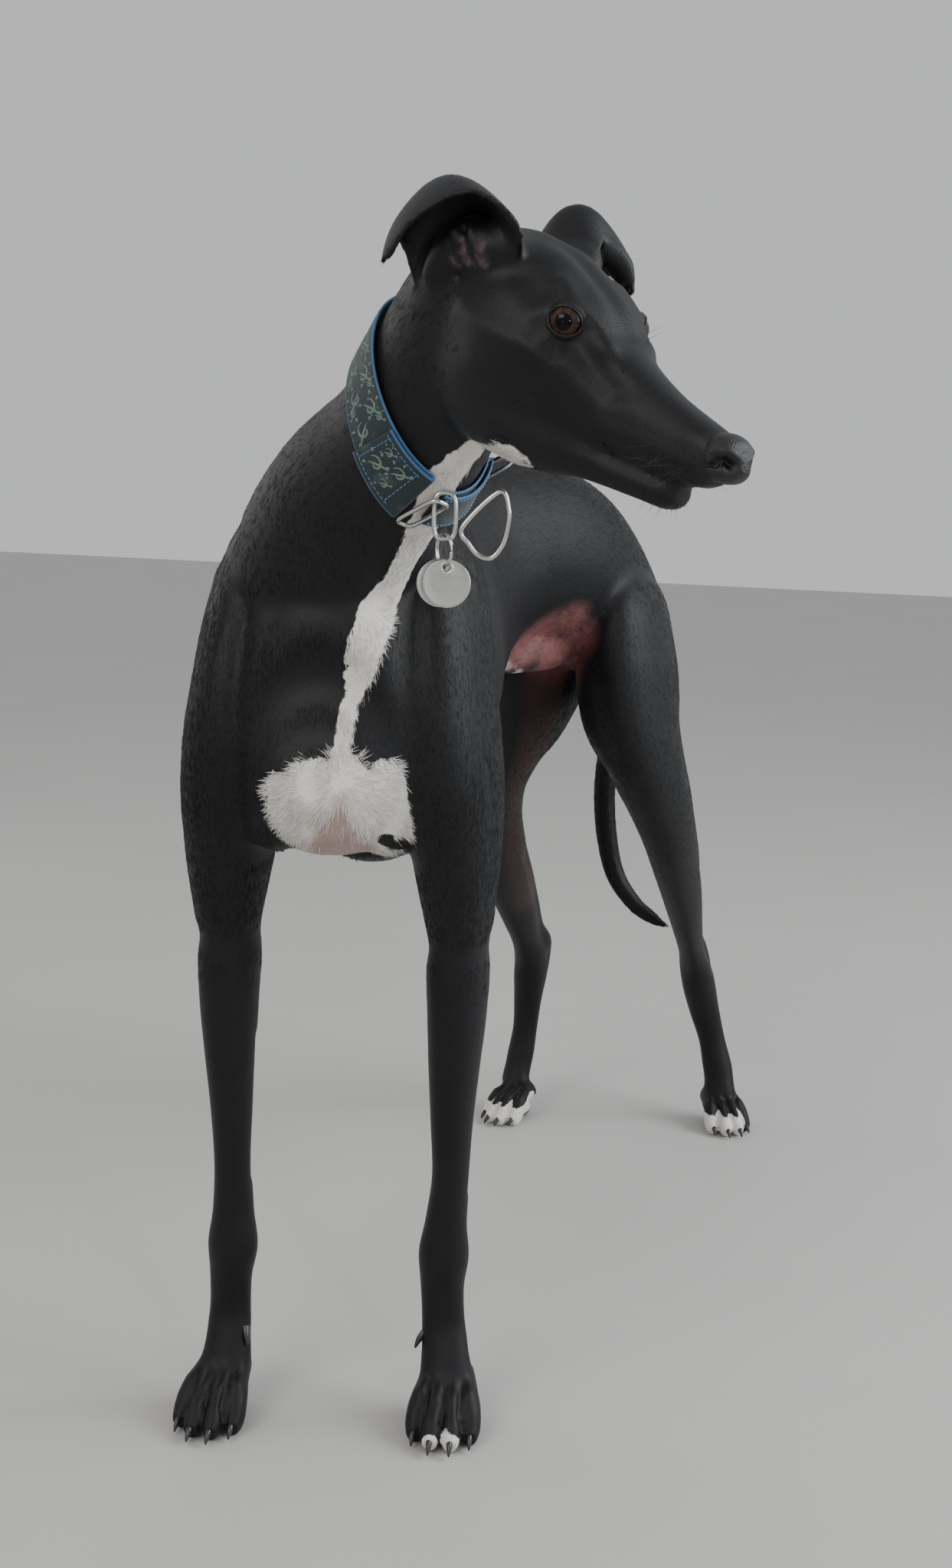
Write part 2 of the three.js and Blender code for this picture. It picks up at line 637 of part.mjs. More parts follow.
// Legs: cut level at the ankle, wrist, elbow, hock and stifle
const LEVELS = { ankle: 48, wrist: 142, elbow: 372, hock: 172, stifle: 392 };
const foreTurn = new THREE.Matrix4().makeRotationZ(rad(FORE_YAW));
const level = (name, hand, y, from, to) => carve(
  name, [hand * 200, y, (from + to) / 2], [400 - 2 * GAP, 400, to - from - GAP],
);
for (const [hand, side] of SIDES) {
  level(`front_paw_${side}`, hand, -300, -10, LEVELS.ankle);
  level(`front_pastern_${side}`, hand, -300, LEVELS.ankle, LEVELS.wrist);
  level(`forearm_${side}`, hand, -300, LEVELS.wrist, LEVELS.elbow);
  carve(`upper_foreleg_${side}`, [...fore(hand * (46 + 60), 0), 505], [120, 250, 2 * (505 - LEVELS.elbow)],
    foreTurn, (grow) => shoulder(hand, grow).add(foreleg(side, grow)));
  level(`hind_paw_${side}`, hand, 380, -10, LEVELS.ankle);
  level(`rear_pastern_${side}`, hand, 380, LEVELS.ankle, LEVELS.hock);
  level(`lower_thigh_${side}`, hand, 330, LEVELS.hock, LEVELS.stifle);
  carve(`thigh_${side}`, [spineX(230) + hand * (22 + 60), 240, 505], [120, 400, 2 * (505 - LEVELS.stifle)],
    undefined, (grow) => hindleg(side, grow));
}

// Trunk
carve('chest', [0, -330, 500], [600, 640, 500]);
carve('loin', [0, 70, 500], [600, 160, 500]);
carve('rump', [0, 300, 500], [600, 300, 500]);

// Tail, in three lengths
rest = loft(TAIL, { up: [0, 1, 0], sides: 8 }).subtract(trunk(GAP));
carve('tail_root', [0, 400, 520], [300, 300, 2 * (520 - 440)]);
carve('tail_middle', [0, 400, 370], [300, 300, 2 * (370 - 300) - GAP]);
carve('tail_tip', [0, 400, 260], [300, 300, 2 * (300 - 260) - GAP]);

// Collar band, open at the throat, and the cinch loop across the opening
const collarTurn = new THREE.Matrix4().makeBasis(
  V(COLLAR_THROAT).cross(V(COLLAR_AIM)), V(COLLAR_THROAT), V(COLLAR_AIM),
);
const round = (angle, reach) => [reach * Math.sin(rad(angle)), reach * Math.cos(rad(angle)), 0];
const onCollar = (p) => V(p).applyMatrix4(collarTurn).add(V(COLLAR_PLACE));
function wedge(from, to) {
  const shape = new THREE.Shape();
  shape.moveTo(0, 0);
  for (const angle of [from, (from + to) / 2, to]) shape.lineTo(...round(angle, 160).slice(0, 2));
  const geometry = new THREE.ExtrudeGeometry(shape, { depth: 120, bevelEnabled: false });
  geometry.translate(0, 0, -60);
  geometry.applyMatrix4(collarTurn);
  geometry.translate(...COLLAR_PLACE);
  return fromGeometry(geometry);
}
const strap = ({ width, inside, outside }) => neck(outside).subtract(neck(inside))
  .intersect(box(COLLAR_PLACE, [320, 320, width], collarTurn)).subtract(skull(GAP));
node('collar_band', strap(BAND).subtract(wedge(...BAND.open)), WEBBING);
node('collar_loop', strap(CINCH).intersect(wedge(CINCH.from, CINCH.to)), WEBBING);

// A closed outline round a middle: 2 is an ellipse, more is squarer
function oval(middle, across, along, [a, b], square = 2, count = 14) {
  return Array.from({ length: count }, (_, k) => {
    const angle = (2 * Math.PI * (k + 0.5)) / count;
    const [c, s] = [Math.cos(angle), Math.sin(angle)];
    return middle.clone()
      .addScaledVector(across, a * Math.sign(c) * Math.abs(c) ** (2 / square))
      .addScaledVector(along, b * Math.sign(s) * Math.abs(s) ** (2 / square));
  });
}
for (const [side, angle] of RINGS) {
  const out = V(round(angle, 1)).applyMatrix4(collarTurn);
  const under = neck(1).intersect(box(COLLAR_PLACE, [320, 320, 44], collarTurn))
    .intersect(wedge(angle - 8, angle + 8)).getMesh();
  let reach = 0;
  for (let i = 0; i < under.vertProperties.length; i += under.numProp) {
    const p = V(under.vertProperties.slice(i, i + 3)).sub(V(COLLAR_PLACE));
    reach = Math.max(reach, p.dot(out) + WIRE);
  }
  const along = V(COLLAR_AIM);
  const across = new THREE.Vector3().crossVectors(along, out);
  node(`collar_ring_${side}`,
    hoop(oval(onCollar(round(angle, reach)), across, along, RING_HALF, 5), out, WIRE), NICKEL);
}

// Link, split rings, tags and the ring for a lead
const sideways = new THREE.Vector3(Math.cos(rad(HANG_YAW)), Math.sin(rad(HANG_YAW)), 0);
const outwards = new THREE.Vector3(Math.sin(rad(HANG_YAW)), -Math.cos(rad(HANG_YAW)), 0);
const upright = new THREE.Vector3(0, 0, 1);
const hang = (s, o, u) => V(HANG_PLACE)
  .addScaledVector(sideways, s).addScaledVector(outwards, o).addScaledVector(upright, u);
node('link', hoop(oval(hang(...LINK.at), sideways, upright, LINK.half, 3.5), outwards, WIRE), NICKEL);
const flat = outwards.clone().applyAxisAngle(upright, rad(SPLIT_RING.turn));
const { radius: ringRadius, wire: ringWire } = SPLIT_RING;
node('split_ring', hoop(
  oval(hang(...SPLIT_RING.at), new THREE.Vector3().crossVectors(upright, flat), upright,
    [ringRadius, ringRadius], 2, 16), flat, ringWire,
), NICKEL);
const disc = (radius, thick, place) => {
  const geometry = new THREE.CylinderGeometry(radius, radius, thick, 24);
  geometry.applyMatrix4(new THREE.Matrix4().makeBasis(sideways, outwards.clone().negate(), upright));
  geometry.translate(...place.toArray());
  return fromGeometry(geometry);
};
const holeLevel = SPLIT_RING.at[2] - ringRadius - TAG_SIZE.hole + ringWire + 1.1;
for (const [side, s, o] of TAGS) {
  node(`tag_${side}`, disc(TAG_SIZE.radius, TAG_SIZE.thick, hang(s, o, holeLevel - TAG_SIZE.holeUp))
    .subtract(disc(TAG_SIZE.hole, 3 * TAG_SIZE.thick, hang(s, o, holeLevel))), TAG);
}
const bow = new THREE.CatmullRomCurve3(D_RING.map(([s, u]) => hang(s, D_RING_OUT, u)), true);
node('lead_ring', hoop(bow.getPoints(15).slice(1), outwards, WIRE), NICKEL);

// The origin is under the middle of the whole dog, at the floor
const bounds = new THREE.Box3().setFromObject(model);
const middle = bounds.getCenter(new THREE.Vector3());
for (const part of model.children) part.geometry.translate(-middle.x, -middle.y, -bounds.min.z);

export default model;
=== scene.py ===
import math

import bpy
import numpy as np
from mathutils import Matrix, Vector


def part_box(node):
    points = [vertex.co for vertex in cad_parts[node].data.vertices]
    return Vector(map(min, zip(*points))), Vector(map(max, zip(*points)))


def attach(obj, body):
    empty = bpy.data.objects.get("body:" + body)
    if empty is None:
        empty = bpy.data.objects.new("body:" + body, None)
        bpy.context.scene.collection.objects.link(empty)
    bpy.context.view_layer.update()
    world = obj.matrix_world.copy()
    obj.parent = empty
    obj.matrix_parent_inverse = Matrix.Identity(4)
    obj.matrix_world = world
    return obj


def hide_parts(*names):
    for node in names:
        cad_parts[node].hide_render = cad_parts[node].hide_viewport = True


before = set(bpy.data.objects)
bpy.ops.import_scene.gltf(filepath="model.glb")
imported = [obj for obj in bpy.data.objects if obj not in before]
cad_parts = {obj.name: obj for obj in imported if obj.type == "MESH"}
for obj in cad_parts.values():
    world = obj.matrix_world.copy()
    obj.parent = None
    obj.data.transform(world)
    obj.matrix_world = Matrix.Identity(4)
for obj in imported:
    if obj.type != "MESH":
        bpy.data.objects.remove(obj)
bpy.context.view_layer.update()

RANDOM = np.random.default_rng(11)
UP = np.array([0.0, 0.0, 1.0])

# Places are in millimetres from the dog's own middle, which sits here in the frame
MIDDLE = np.array([82.5667, -8.1331, 1.6])
FLOOR = 0.4
COAT_DEPTH = 1.0
VOXEL = 0.0017
SKIN_TRIANGLES = 185000
FILL_ROUNDS, NORMAL_ROUNDS, SMOOTH_ROUNDS, NAPE_ROUNDS, CUFF_ROUNDS = 60, 6, 5, 50, 22
SMOOTH_IN, SMOOTH_OUT = 0.5, 0.52

# The photographer's place, the way the lens looks and its focal length
LENS_PLACE = np.array([565.7, -1490.7, 740.0])
LENS_TURN, LENS_DIP, LENS_TILT = np.radians([21.8, 10.25, 1.24])
LENS_LENGTH = 42.19

# How the head is held
NOSE_TIP = np.array([316.0, -475.0, 735.0])
HEAD_YAW, HEAD_PITCH, HEAD_ROLL = np.radians([66.0, 24.0, 1.0])

# The forequarters stand turned about this place
FORE_YAW = math.radians(14.0)
FORE_PLACE = np.array([-15.0, -300.0])


def fore(sideways, back):
    """Sideways and back in the turned forequarters, as x and y."""
    c, s = math.cos(FORE_YAW), math.sin(FORE_YAW)
    return FORE_PLACE[0] + sideways * c - back * s, FORE_PLACE[1] + sideways * s + back * c


# The masses of the body. Each row is x, y, z, half width, half size towards "up",
# half size away from it, then squareness above and below (2 is an ellipse).
BACK = np.array([
    [-400, 10], [-300, -15], [-200, -42], [-100, -64], [-40, -75], [20, -72], [80, -52], [140, -26],
    [200, -9], [300, 3], [400, 8],
], float)
TRUNK = [[float(np.interp(row[0], BACK[:, 0], BACK[:, 1])), *row] for row in [
    [-391, 524, 14, 22, 20],
    [-384, 522, 36, 50, 42],
    [-366, 521, 58, 88, 63],
    [-335, 528, 74, 126, 82],
    [-295, 540, 87, 156, 103, 2, 1.9],
    [-250, 556, 93, 150, 130, 2, 1.8],
    [-200, 562, 94, 142, 148, 2, 1.8],
    [-140, 567, 95, 137, 164, 2, 1.7],
    [-80, 576, 88, 136, 178, 2, 1.7],
    [-20, 600, 77, 124, 142, 2, 1.7],
    [40, 624, 67, 110, 92, 1.9, 1.7],
    [95, 640, 63, 97, 78, 1.9, 1.7],
    [145, 638, 61, 90, 78, 2, 1.8],
    [195, 620, 60, 85, 75],
    [245, 597, 60, 70, 71],
    [292, 576, 52, 49, 58],
    [328, 558, 38, 28, 42],
    [352, 545, 14, 12, 16],
]]
NECK = [
    [-42, -245, 600, 78, 100, 92],
    [-28, -292, 655, 74, 86, 84],
    [4, -324, 702, 63, 70, 73],
    [50, -349, 743, 52, 60, 64],
    [86, -370, 784, 50, 57, 60],
    [116, -384, 820, 52, 53, 58],
    [140, -394, 846, 51, 42, 50],
]
NAPE_LOW, NAPE_HIGH = [0, 0.6, 0.8], [-0.75, 0.45, 0.5]
SHOULDER = [
    [36, 58, 706, 14, 26, 32],
    [58, 40, 670, 30, 54, 58],
    [69, 20, 616, 35, 68, 72],
    [75, 5, 560, 37, 72, 78],
    [81, -2, 508, 38, 66, 78],
    [85, 0, 455, 34, 50, 66],
    [87, 2, 412, 28, 36, 50],
    [87, 4, 385, 23, 28, 40],
    [88, 4, 356, 19, 22, 26],
]
FORELEG = {
    -1: [
        [-99, -318, 392, 20, 24, 34],
        [-100, -318, 366, 24, 26, 34],
        [-100, -318, 330, 23, 26, 26],
        [-99, -318, 290, 20.5, 23, 21],
        [-98, -317, 245, 17.5, 20, 18],
        [-98, -316, 200, 15.5, 17, 16],
        [-98, -316, 162, 17, 16, 15],
        [-98, -317, 134, 20.5, 17, 18],
        [-101, -315, 106, 17.5, 14, 17],
        [-101, -316, 76, 17.5, 13, 14],
        [-98, -326, 48, 21, 15, 14],
        [-96, -336, 30, 20, 12, 14],
    ],
    1: [
        [70, -277, 392, 20, 24, 34],
        [69, -277, 366, 24, 26, 34],
        [69, -277, 330, 23, 26, 26],
        [67, -275, 290, 20.5, 23, 21],
        [65, -272, 245, 17.5, 20, 18],
        [64, -270, 200, 15.5, 17, 16],
        [60, -268, 162, 17, 16, 15],
        [58, -267, 134, 20.5, 17, 18],
        [56, -264, 106, 18, 14, 17],
        [58, -265, 76, 18, 13, 14],
        [64, -274, 48, 21.5, 15, 14],
        [68, -283, 30, 20, 12, 14],
    ],
}
HINDLEG = {
    -1: [
        [-26, 226, 640, 12, 34, 40],
        [-42, 220, 600, 32, 74, 86],
        [-58, 210, 545, 41, 90, 96],
        [-72, 198, 492, 42, 86, 84],
        [-86, 192, 450, 37, 73, 66],
        [-98, 201, 410, 32, 58, 51],
        [-104, 222, 370, 27, 46, 44],
        [-105, 252, 330, 24, 36, 38],
        [-104, 288, 290, 21, 28, 32],
        [-106, 325, 250, 18, 23, 28],
        [-110, 357, 215, 15.5, 18, 27],
        [-114, 381, 187, 17.5, 18, 34],
        [-118, 394, 160, 18.5, 19, 24],
        [-122, 400, 130, 17, 15, 17],
        [-124, 400, 95, 15, 14, 14],
        [-127, 392, 58, 17, 15, 15],
        [-129, 380, 34, 18, 13, 14],
    ],
    1: [
        [26, 232, 640, 12, 34, 40],
        [34, 230, 600, 34, 78, 92],
        [35, 226, 545, 48, 92, 100],
        [43, 222, 492, 48, 86, 88],
        [57, 228, 450, 39, 73, 69],
        [67, 244, 410, 33, 58, 54],
        [73, 266, 370, 28, 47, 45],
        [74, 296, 330, 25, 38, 38],
        [73, 330, 290, 22, 30, 32],
        [70, 366, 250, 18, 24, 28],
        [67, 398, 215, 15.5, 18, 27],
        [65, 424, 187, 18, 18, 34],
        [67, 438, 160, 19, 19, 24],
        [72, 447, 130, 17.5, 15, 17],
        [81, 452, 95, 15.5, 14, 14],
        [91, 448, 58, 18, 15, 15],
        [97, 438, 34, 18, 13, 14],
    ],
}
HIND_UP = {-1: [-0.3, -1, 0], 1: [0.15, -1, 0]}
BREAST = [
    [82, 4, 4, 4], [68, 24, 28, 28], [36, 34, 42, 42], [0, 37, 45, 45], [-36, 34, 42, 42], [-70, 24, 28, 28],
    [-82, 4, 4, 4],
]
SHEATH = [
    [-4, 186, 560, 14, 30, 14],
    [-14, 140, 553, 15, 28, 14],
    [-22, 104, 552, 14, 28, 13],
    [-30, 76, 551, 11, 24, 11],
    [-36, 58, 551, 5, 12, 6],
]
TAIL = [
    [2, 322, 574, 18, 18, 18],
    [2, 347, 554, 17, 17, 17],
    [-6, 374, 515, 14, 14, 14],
    [-20, 390, 470, 13, 13, 13],
    [-34, 398, 425, 12.5, 12.5, 12.5],
    [-39, 401, 375, 12.5, 12.5, 12.5],
    [-34, 400, 325, 12, 12, 12],
    [-22, 398, 285, 11, 11, 11],
    [0, 396, 257, 9.5, 9.5, 9.5],
    [22, 394, 243, 7.5, 7.5, 7.5],
    [38, 393, 236, 3, 3, 3],
]

# The small claws on the inner side of each foreleg: x, y, z and which way they point
DEWCLAWS = [[-80, -324, 62, 1], [40, -275, 62, -1]]

# Paws: where the toes end, which way they point (degrees from -Y towards +X), and size
PAWS = {
    "front_right": ((-89, -393), 9, 1.02),
    "front_left": ((84.5, -336), 16, 1.04),
    "hind_right": ((-136, 319), -16, 0.9),
    "hind_left": ((128, 398), 37, 0.94),
}
PAD = [[-20, 14, 6, 8, 8], [-10, 13, 15, 14, 12], [4, 13, 16, 14, 12], [15, 13, 6, 8, 8]]
TOES = [-1, -0.36, 0.36, 1]
TOE_SPREAD = 19
PAW_LENGTH = 58

# The head, along its own axis: back from the nose, level, half width, rise, drop, squareness
SKULL = [
    [13, -3, 14, 13, 15, 2.3, 2.5],
    [22, -4, 16.5, 16, 20, 2.4, 2.7],
    [40, -6, 19, 20, 23, 2.4, 2.8],
    [64, -8, 22, 25, 24, 2.3, 2.7],
    [90, -8, 27, 31, 30, 2.2, 2.5],
    [112, -6, 34, 36, 40, 2.2, 2.3],
    [134, -3, 44, 46, 52, 2.3, 2.2],
    [156, 0, 51, 52, 64, 2.1, 2.1],
    [180, 2, 53, 57, 70, 2.1, 2],
    [204, 3, 50, 56, 70],
    [226, 3, 43, 50, 62],
    [242, 2, 31, 38, 46],
    [250, 2, 15, 18, 22],
]
JAW = [
    [33, -32, 9, 6, 8],
    [40, -34, 15, 9, 12, 2.2, 2.2],
    [58, -37, 19, 12, 12, 2.2, 2.2],
    [82, -39, 23, 14, 14, 2.2, 2.2],
    [106, -40, 29, 22, 18, 2.2, 2.2],
    [130, -42, 38, 32, 24, 2.2, 2.2],
    [156, -42, 45, 40, 30],
    [182, -38, 47, 40, 36],
    [206, -34, 42, 36, 34],
]
NOSE = [
    [0, 2, 5, 5, 5],
    [2, 1, 9, 8.5, 8.5, 2.4, 2.4],
    [5, 0, 13, 11.5, 11.5, 2.4, 2.4],
    [9, -1, 15, 13, 13, 2.4, 2.4],
    [16, -2, 15, 13.5, 13.5, 2.4, 2.4],
]
EARS = {
    -1: (
        [[-26, 182, 28], [-36, 178, 46], [-50, 180, 68], [-68, 204, 74], [-82, 226, 48], [-84, 234, 22]],
        [[-18, 210, 26], [-28, 224, 36], [-38, 238, 60], [-54, 248, 67], [-75, 246, 44], [-85, 238, 19]],
        [[-30, 234, -6], [-44, 244, 0], [-54, 254, 18], [-64, 256, 28], [-75, 250, 24], [-83, 240, 16]],
    ),
    1: (
        [[28, 186, 30], [36, 184, 46], [46, 196, 58], [58, 202, 60], [70, 192, 48], [72, 182, 36]],
        [[18, 212, 26], [28, 226, 40], [40, 234, 64], [58, 226, 70], [75, 202, 54], [75, 183, 35]],
        [[30, 232, -4], [46, 238, 6], [60, 238, 24], [74, 226, 34], [79, 206, 36], [74, 186, 32]],
    ),
}
# What fills the foot of each ear, and the fold of the left one
CONCH = [
    [26, 184, 30, 9, 9, 9], [34, 188, 44, 11, 11, 11], [38, 204, 45, 16, 15, 15],
    [42, 218, 42, 16, 16, 15], [44, 230, 27, 13, 13, 13], [44, 236, 12, 9, 9, 9],
]
EAR_FOLD = [
    [54, 206, 56, 8, 9, 9], [61, 202, 53, 9, 10, 10], [68, 195, 47, 8, 10, 10], [72, 188, 39, 5, 7, 7],
]
EAR_THICKNESS = 3.4
EAR_ROOT = 1.3
EYE_PLACE = np.array([28.0, 136.0, 27.0])
EYE_LOOK = np.array([0.82, -0.52, 0.12])
EYE_RADIUS = 11.2
LID_HALF = 10.4
LID_ABOVE, LID_BELOW = 8.9, 7.9
LID_THICK, LID_INSIDE, LID_REACH = 1.1, 2.6, 26


def turn_about(axis, angle):
    """The 3 by 3 matrix that turns by an angle about x, y or z."""
    return np.array(Matrix.Rotation(float(angle), 3, axis))


HEAD_TURN = turn_about("Z", HEAD_YAW) @ turn_about("X", HEAD_PITCH) @ turn_about("Y", HEAD_ROLL)


def head_aim(p):
    """A direction given as out, back and up from the nose, turned with the head."""
    return np.asarray(p, float) @ HEAD_TURN.T


def head_point(p):
    """A place given as out, back and up from the nose, in the dog's millimetres."""
    return head_aim(p) + NOSE_TIP


def metres(points):
    """Millimetres from the dog's middle, as metres in the frame."""
    return (np.asarray(points, float) - MIDDLE) / 1000.0


def unit(vectors):
    """Each vector divided by its own length."""
    vectors = np.asarray(vectors, float)
    return vectors / np.maximum(np.linalg.norm(vectors, axis=-1, keepdims=True), 1e-12)


def ease(low, high, values):
    """0 below low, 1 above high, and 3t^2 - 2t^3 between them."""
    t = np.clip((np.asarray(values, float) - low) / (high - low), 0, 1)
    return t * t * (3 - 2 * t)


def between(rows, t):
    """Rows of numbers read at places t, on a Catmull-Rom cubic through every row."""
    rows = np.asarray(rows, float)
    i = np.clip(np.floor(t).astype(int), 0, len(rows) - 2)
    f = (t - i)[:, None]
    p, q, r, s = (rows[np.clip(i + k, 0, len(rows) - 1)] for k in (-1, 0, 1, 2))
    return q + 0.5 * ((r - p) * f + (2 * p - 5 * q + 4 * r - s) * f**2 + (3 * q - p - 3 * r + s) * f**3)


def rings(rows, up, up_end=None, sides=40, steps=8, grow=0.0):
    """Rings along a path: centre + side * |cos a|^k * width + top * |sin a|^k * rise, k = 2 / squareness.
    Gives the points as (rings, sides, 3) and the way along the path at each ring."""
    rows = np.array([[*row, 2, 2][:8] for row in rows], float)
    last = len(rows) - 1
    t = np.linspace(0, last, last * steps + 1)
    row = between(rows, t)
    along = between(rows, np.minimum(t + 0.25, last)) - between(rows, np.maximum(t - 0.25, 0))
    along = unit(along[:, :3])
    up = np.asarray(up, float)
    up_end = up if up_end is None else np.asarray(up_end, float)
    top = up + (up_end - up) * (t / last)[:, None]
    top = unit(top - along * (top * along).sum(1, keepdims=True))
    side = np.cross(along, top)
    angle = 2 * np.pi * (np.arange(sides) + 0.5) / sides
    c, s = np.cos(angle)[None], np.sin(angle)[None]
    power = 2 / np.where(s > 0, row[:, 6:7], row[:, 7:8])
    across = np.sign(c) * np.abs(c) ** power * np.maximum(row[:, 3:4] + grow, 0.4)
    reach = np.maximum(np.where(s > 0, row[:, 4:5], row[:, 5:6]) + grow, 0.4)
    rise = np.sign(s) * np.abs(s) ** power * reach
    points = row[:, None, :3] + side[:, None] * across[..., None] + top[:, None] * rise[..., None]
    return points, along


def grid_faces(rows, columns, closed):
    """Quads over a grid of rows by columns, joined round from the last column to the first if closed."""
    i, j = np.meshgrid(np.arange(rows - 1), np.arange(columns if closed else columns - 1), indexing="ij")
    k = (j + 1) % columns
    near, far = i * columns, (i + 1) * columns
    return np.stack([near + j, near + k, far + k, far + j], -1).reshape(-1, 4)


def capped(grid):
    """A grid of rings closed at both ends with a fan about each end's middle."""
    rows, columns, _ = grid.shape
    points = np.concatenate([grid.reshape(-1, 3), [grid[0].mean(0)], [grid[-1].mean(0)]])
    j = np.arange(columns)
    k = (j + 1) % columns
    start, end = rows * columns, rows * columns + 1
    first = np.stack([np.full(columns, start), k, j], -1)
    last = np.stack([np.full(columns, end), (rows - 1) * columns + j, (rows - 1) * columns + k], -1)
    return outward(points, grid_faces(rows, columns, True), np.concatenate([first, last]))


def outward(points, quads, triangles):
    """The same closed shape with its faces turned out: its signed volume is made positive."""
    def volume(corners):
        a, b, c = (points[corners[:, k]] for k in (0, 1, 2))
        return np.einsum("ij,ij->i", a, np.cross(b, c)).sum()
    total = volume(triangles) if len(triangles) else 0.0
    if len(quads):
        total += volume(quads[:, :3]) + volume(quads[:, [0, 2, 3]])
    if total < 0:
        quads = quads[:, ::-1] if len(quads) else quads
        triangles = triangles[:, ::-1] if len(triangles) else triangles
    return points, quads, triangles


def joined(shapes):
    """Several (points, quads, triangles) as one."""
    points, quads, triangles, offset = [], [], [], 0
    for p, q, t in shapes:
        points.append(p)
        quads.append(np.asarray(q, int).reshape(-1, 4) + offset)
        triangles.append(np.asarray(t, int).reshape(-1, 3) + offset)
        offset += len(p)
    return np.concatenate(points), np.concatenate(quads), np.concatenate(triangles)


def in_metres(shape):
    """The same points, quads and triangles with the points in the frame's metres."""
    points, quads, triangles = shape
    return metres(points), quads, triangles


def build(name, shape):
    """A smooth mesh object from points in metres, quads and triangles."""
    points, quads, triangles = shape
    mesh = bpy.data.meshes.new(name)
    corners = np.concatenate([np.ravel(quads), np.ravel(triangles)]).astype(np.int32)
    sizes = np.concatenate([np.full(len(quads), 4), np.full(len(triangles), 3)]).astype(np.int32)
    mesh.vertices.add(len(points))
    mesh.vertices.foreach_set("co", np.ravel(points).astype(np.float32))
    mesh.loops.add(len(corners))
    mesh.loops.foreach_set("vertex_index", corners)
    mesh.polygons.add(len(sizes))
    mesh.polygons.foreach_set("loop_start", (np.cumsum(sizes) - sizes).astype(np.int32))
    mesh.update(calc_edges=True)
    mesh.polygons.foreach_set("use_smooth", np.ones(len(sizes), bool))
    piece = bpy.data.objects.new(name, mesh)
    bpy.context.scene.collection.objects.link(piece)
    return piece


def finish_piece(piece, material, slot, *nodes):
    """Give a piece its material and the nodes it stands for, riding on the root; the slot is not used."""
    piece.data.materials.clear()
    piece.data.materials.append(material)
    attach(piece, "root")
    if nodes:
        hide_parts(*nodes)
    return piece


def point_data(mesh, name, values):
    """Write one number for each point of the mesh as a named attribute."""
    layer = mesh.attributes.new(name, "FLOAT", "POINT")
    layer.data.foreach_set("value", np.asarray(values, np.float32))


def coordinates(mesh):
    """The mesh's points, as rows of x, y and z in metres."""
    points = np.empty(len(mesh.vertices) * 3, np.float32)
    mesh.vertices.foreach_get("co", points)
    return points.reshape(-1, 3).astype(float)


def normals(mesh):
    """The mesh's point normals, as rows of x, y and z."""
    values = np.empty(len(mesh.vertices) * 3, np.float32)
    mesh.vertex_normals.foreach_get("vector", values)
    return values.reshape(-1, 3).astype(float)


# The masses, each with the way its hair lies along it and its own tile of the unwrap
def paw_place(tip, yaw, size, sideways, forwards, height):
    """A place in a paw's own frame, as x, y, z."""
    a = math.radians(yaw)
    reach = (forwards - PAW_LENGTH) * size
    x = tip[0] + math.sin(a) * reach + math.cos(a) * sideways * size
    y = tip[1] - math.cos(a) * reach + math.sin(a) * sideways * size
    return [x, y, height * size]


def outer_toe(side):
    """How much further back an outer toe ends than a middle one."""
    return -11 if abs(side) > 0.5 else 0


def toe_rows(paw, side):
    """The rows of one toe, longer in the middle of the paw than at its sides."""
    tip, yaw, size = paw
    outer = outer_toe(side)
    s = side * TOE_SPREAD
    rows = [
        [s * 0.5, -22, 34, 9, 11, 10],
        [s * 0.75, 4, 32, 10, 11, 12],
        [s * 0.95, 24 + outer * 0.7, 25, 9.3, 10.5, 12],
        [s * 1.05, 38 + outer, 13.5, 8.8, 9.5, 14],
        [s * 1.08, 47 + outer, 9.5, 6, 6, 9],
    ]
    return [[*paw_place(tip, yaw, size, a, f, z), w * size, t * size, b * size] for a, f, z, w, t, b in rows]


def claw_rows(paw, side):
    """The rows of the claw at the end of one toe."""
    tip, yaw, size = paw
    outer = outer_toe(side)
    s = side * TOE_SPREAD
    rows = [
        [s * 1.06, 38 + outer, 13, 2.6, 3.0, 3.0],
        [s * 1.08, 46 + outer, 11.5, 2.5, 2.8, 2.8],
        [s * 1.10, 50.5 + outer, 8.6, 1.9, 2.2, 2.0],
        [s * 1.11, 54 + outer, 4.4, 0.7, 0.8, 0.7],
    ]
    return [[*paw_place(tip, yaw, size, a, f, z), w, t, b] for a, f, z, w, t, b in rows]


def head_rows(rows):
    """Rows along the head's own axis, as rows in the dog's millimetres."""
    return [[*head_point([0, back, level]), *sizes] for back, level, *sizes in rows]


def ear_grid(front, middle, rear, along=40, across=24):
    """A curved sheet: for each u along the rims, the parabola through front, middle and rear."""
    t = np.linspace(0, len(front) - 1, along)
    f, m, r = (between(line, t)[:, None] for line in (front, middle, rear))
    v = np.linspace(0, 1, across)[None, :, None]
    return head_point(f * (1 - v) * (1 - 2 * v) + 4 * m * v * (1 - v) + r * v * (2 * v - 1))


def sheet_normals(grid):
    """The crossed differences along and across a grid."""
    return unit(np.cross(np.gradient(grid, axis=0), np.gradient(grid, axis=1)))


